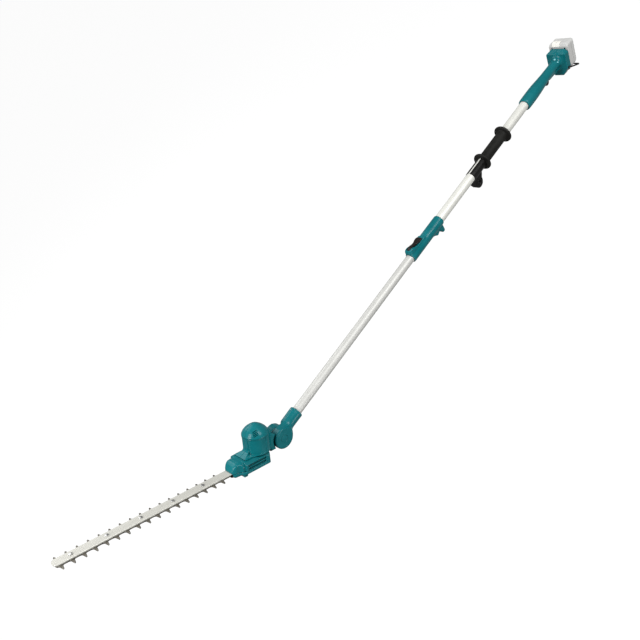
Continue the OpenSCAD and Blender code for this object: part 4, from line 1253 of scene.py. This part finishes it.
def build_grip():
    """finely ribbed sleeve between two guard rings"""
    def guard_ring(centre, steps=15):
        angles = [math.pi * k / steps for k in range(steps + 1)]
        return [(centre - 4.5 * math.cos(a), 26.5 + 4.5 * math.sin(a)) for a in angles]

    profile = [(-1264, 16.0), (-1264, 18.0), (-1263.2, 18.6), (-1262.5, 19.0)]
    profile += guard_ring(-1258)
    profile += [(-1253.2, 20.6), (-1251.5, 19.2), (-1249, 18.7)]
    for i, x in enumerate(np.linspace(-1247, -1134, 58)):
        profile.append((float(x), 18.6 - (0.22 if i % 2 else 0.0)))
    profile += [(-1132.5, 18.7), (-1130, 19.2), (-1128.2, 20.6)]
    profile += guard_ring(-1123.2)
    bore = REAR_TUBE + 0.03
    profile += [(-1119.0, 19.0), (-1119, 16.0), (-1119.4, bore), (-1263.6, bore)]
    add_mesh('grip_sleeve_rubber', lathe(profile, 112), POLE, 'pole', 'grip_sleeve',
             'black_rubber', sharp=50)


def build_bail():
    """U of wire that hangs back and down from the handle"""
    length, droop, half_width = 67, math.radians(26), 41.5
    pivot_x, pivot_z = BAIL_PIVOT
    end_x = pivot_x - length * math.cos(droop)
    end_z = pivot_z - length * math.sin(droop)

    def bend(corner, before, after, reach, count):
        corner, before, after = map(np.array, (corner, before, after))
        u = (before - corner) / np.linalg.norm(before - corner)
        v = (after - corner) / np.linalg.norm(after - corner)
        return [tuple(corner + u * reach * (1 - t) ** 2 + v * reach * t ** 2)
                for t in np.linspace(0, 1, count)]

    pin = (pivot_x, -32.3, pivot_z)
    near = (pivot_x, -half_width, pivot_z)
    far = (end_x, -half_width, end_z)
    right = [pin] + bend(near, pin, far, 4, 8) + bend(far, near, (end_x, 0, end_z), 13, 12)
    right.append((end_x - 0.6, -14, end_z + 0.8))
    left = [(x, -y, z) for x, y, z in reversed(right)]
    path = right + [(end_x - 0.8, 0, end_z + 1.0)] + left
    add_mesh('wire_bail', rod(path, 2.6, 20), POLE, 'storage_hook', 'storage_hook',
             'black_wire', sharp=60)


# ================================================================ blades, HEAD frame
REAR_SCREW = 146
BLADE_SCREWS = [168 + 90 * k for k in range(6)]
# one side of a tooth: half width along x, y, setback of the ground edge
TOOTH = [(9.4, 11, 0.3), (6.6, 11.8, 0.5), (4.7, 14.0, 1.2), (2.5, 23.4, 1.2),
         (1.9, 26.2, 0.9), (1.0, 27.0, 0.6)]


def build_blades():
    """two toothed blades, one above the other, each ground on its outer face"""
    thickness = 2.3
    half_stroke = 6.5
    tooth_pitch, front_tooth, tooth_count = 27.5, 647.4, 17
    gear_x = GEAR_AXIS[0]
    half = []
    for k in range(tooth_count):
        centre = front_tooth - k * tooth_pitch
        half += [(centre + w, y, setback) for w, y, setback in TOOTH]
        half += [(centre - w, y, setback) for w, y, setback in reversed(TOOTH)]
    # at the tip the tooth root runs into the end of the blade
    half[0] = (656.2, 10.2, 0.3)
    half += [(gear_x + 28, 11, 0.3), (gear_x + 20, 20, 0.3), (gear_x - 20, 20, 0.3),
             (gear_x - 26.5, 14, 0.3)]
    corners = half + [(x, -y, setback) for x, y, setback in reversed(half)]
    corners += [(658, -5, 0.3), (658, 5, 0.3)]
    outer = [(x, y) for x, y, _ in corners]
    grind = [setback for _, _, setback in corners]
    gear_window = mirror([(gear_x - 21, 10), (gear_x - 16.5, 14.6), (gear_x + 16.5, 14.6),
                          (gear_x + 21, 10)])
    holes = [fillet(gear_window, 2, 3)]
    holes += [long_hole(x, half_stroke + 0.4, 3.3) for x in BLADE_SCREWS]
    holes.append(long_hole(REAR_SCREW, half_stroke + 0.6, 3.3))
    for level, bottom, ground in (('upper', -38.9, {'top_grind': grind}),
                                  ('lower', -41.3, {'bottom_grind': grind})):
        shape = plate(outer, holes, bottom, bottom + thickness, **ground)
        add_mesh(f'cutter_blade_{level}', shape, HEAD, f'blade_{level}', f'blade_{level}',
                 'blade_steel', sharp=20)


def build_guide_bar():
    half = [(141, 13.5), (653, 13.5), (659, 10.5), (662, 5.5)]
    radii = [0.5, 5, 4, 3]
    outer = fillet(mirror(half), radii + radii[::-1], 4)
    holes = [circle(x, 2.55) for x in [REAR_SCREW] + BLADE_SCREWS]
    shape = plate(outer, holes, bottom=-36.4, top=-32.22, bevel=0.7)
    add_mesh('guide_bar_plate', shape, HEAD, 'head', 'guide_bar', 'blade_steel',
             finish='bar', sharp=30)


# ================================================================ CAD pieces that stay
def finish_cad():
    """give the CAD nodes their materials and soften the edges of the visible ones"""
    slots = {part['node']: part['material_slot'] for part in cad['record']['subparts']}
    for name, node in cad['nodes'].items():
        mesh = node.data
        mesh.materials.clear()
        mesh.materials.append(FINISHES['spring' if name == 'tilt_spring' else slots[name]])
        if node.hide_render:
            continue
        mesh.polygons.foreach_set('use_smooth', [True] * len(mesh.polygons))
        node.modifiers.new('w', 'WELD').merge_threshold = 1e-6
        if name in ('cord_coil', 'tilt_spring'):
            continue
        flatten = node.modifiers.new('p', 'DECIMATE')
        flatten.decimate_type = 'DISSOLVE'
        flatten.angle_limit = math.radians(1.0)
        soften = node.modifiers.new('b', 'BEVEL')
        soften.width = 0.00022
        soften.segments = 2
        soften.limit_method = 'ANGLE'
        soften.angle_limit = math.radians(40)
        soften.harden_normals = False
        mesh.set_sharp_from_angle(angle=math.radians(35))


# ================================================================ stage, light and camera, metres
def floor_material():
    """near white to the camera, a dim glow to every other ray"""
    material, tree, _ = new_material('floor_pale')
    tree.nodes.clear()
    place = add_node(tree, 'TexCoord').outputs['Object']
    mottle = noise(tree, Scale=3.0, Detail=4.0, Vector=place)
    tint = mix_colour(tree, mottle, (0.93, 0.93, 0.93), (0.96, 0.96, 0.96))
    matt = add_node(tree, 'BsdfDiffuse', Color=tint)
    white = add_node(tree, 'Emission', Color=(1, 1, 1), Strength=1.02)
    glow = add_node(tree, 'Emission', Color=(1, 1, 0.985), Strength=0.38)
    seen = mix_shader(tree, 0.92, matt, white)
    camera_ray = add_node(tree, 'LightPath').outputs['Is Camera Ray']
    shown = mix_shader(tree, camera_ray, glow, seen)
    add_node(tree, 'OutputMaterial', Surface=shown.outputs[0])
    material.cycles.emission_sampling = 'NONE'
    return material


def mix_shader(tree, factor, a, b):
    mix = add_node(tree, 'MixShader')
    for index, value in enumerate((factor, a.outputs[0], b.outputs[0])):
        feed(tree, mix.inputs[index], value)
    return mix


def add_floor():
    half, drop = 14.0, 0.55
    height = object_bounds()[0].z - drop
    mesh = bpy.data.meshes.new('floor')
    mesh.from_pydata([(-half, -half, height), (half, -half, height), (half, half, height),
                      (-half, half, height)], [], [(0, 1, 2, 3)])
    floor = bpy.data.objects.new('floor', mesh)
    bpy.context.scene.collection.objects.link(floor)
    mesh.materials.append(floor_material())


def add_world():
    """white to the camera; lights the scene with a gradient, brighter toward the top"""
    world = bpy.data.worlds.new('studio')
    bpy.context.scene.world = world
    world.use_nodes = True
    tree = world.node_tree
    tree.nodes.clear()
    direction = add_node(tree, 'TexCoord').outputs['Generated']
    height = add_node(tree, 'SeparateXYZ', Vector=direction).outputs['Z']
    gradient = add_node(tree, 'ValToRGB', Fac=remap(tree, height, -1, 1))
    low, high = gradient.color_ramp.elements
    low.position, low.color = 0.30, (0.10, 0.10, 0.10, 1)
    high.position, high.color = 0.85, (1, 1, 1, 1)
    sky = add_node(tree, 'Background', Color=gradient.outputs[0], Strength=0.42)
    white = add_node(tree, 'Background', Color=(1, 1, 1), Strength=1.0)
    camera_ray = add_node(tree, 'LightPath').outputs['Is Camera Ray']
    shown = mix_shader(tree, camera_ray, sky, white)
    add_node(tree, 'OutputWorld', Surface=shown.outputs[0])


def add_area_light(place, target, width, height, power):
    light = bpy.data.lights.new('soft', 'AREA')
    light.energy = power
    light.shape = 'RECTANGLE'
    light.size = width
    light.size_y = height
    lamp = bpy.data.objects.new('soft', light)
    lamp.location = place
    lamp.visible_camera = False
    lamp.rotation_mode = 'QUATERNION'
    aim = Vector(target) - Vector(place)
    lamp.rotation_quaternion = aim.to_track_quat('-Z', 'Y')
    bpy.context.scene.collection.objects.link(lamp)


def add_camera():
    camera = bpy.data.cameras.new('cam')
    rig = bpy.data.objects.new('cam', camera)
    bpy.context.scene.collection.objects.link(rig)
    # columns: right, up, back, place
    rig.matrix_world = Matrix((
        (-0.5771, -0.7484, 0.3268, 1.4211),
        (0.6766, -0.2140, 0.7046, 1.4265),
        (-0.4574, 0.6277, 0.6299, 1.4572),
        (0, 0, 0, 1)))
    camera.sensor_width = 36
    camera.lens = 40.78
    camera.clip_start = 0.01
    camera.clip_end = 60
    bpy.context.scene.camera = rig


def build_stage():
    add_floor()
    add_world()
    add_area_light((2.6, 0.2, 2.6), (0.6, 0, 0.1), width=1.1, height=2.2, power=106)
    add_area_light((-0.9, 2.2, 2.2), (0.2, 0, 0.0), width=1.0, height=2.2, power=84)
    add_area_light((0.4, -2.2, 2.0), (0.4, 0, 0.0), width=1.4, height=2.4, power=30)
    add_area_light((0.80, 1.5, -0.42), (1.12, 0, 0.03), width=0.7, height=0.5, power=9)
    bpy.context.scene.view_settings.view_transform = 'Standard'
    add_camera()


build_head()
build_case()
build_under_cover()
build_nose_bumper()
build_socket()
build_pivot_cover()
build_coupling()
build_cam_lever()
build_handle()
build_trigger()
build_pack()
build_pack_button()
build_hanger()
# the rear tube's lighter finish is painted light, not a different anodising
build_tube('tube_rear', -1450, -712.5, REAR_TUBE, 'pole', 'upper_tube', finish='rear_tube')
build_tube('tube_front', -915, -36, FRONT_TUBE, 'front_pole', 'lower_tube')
build_grip()
build_bail()
build_blades()
build_guide_bar()
finish_cad()
build_stage()
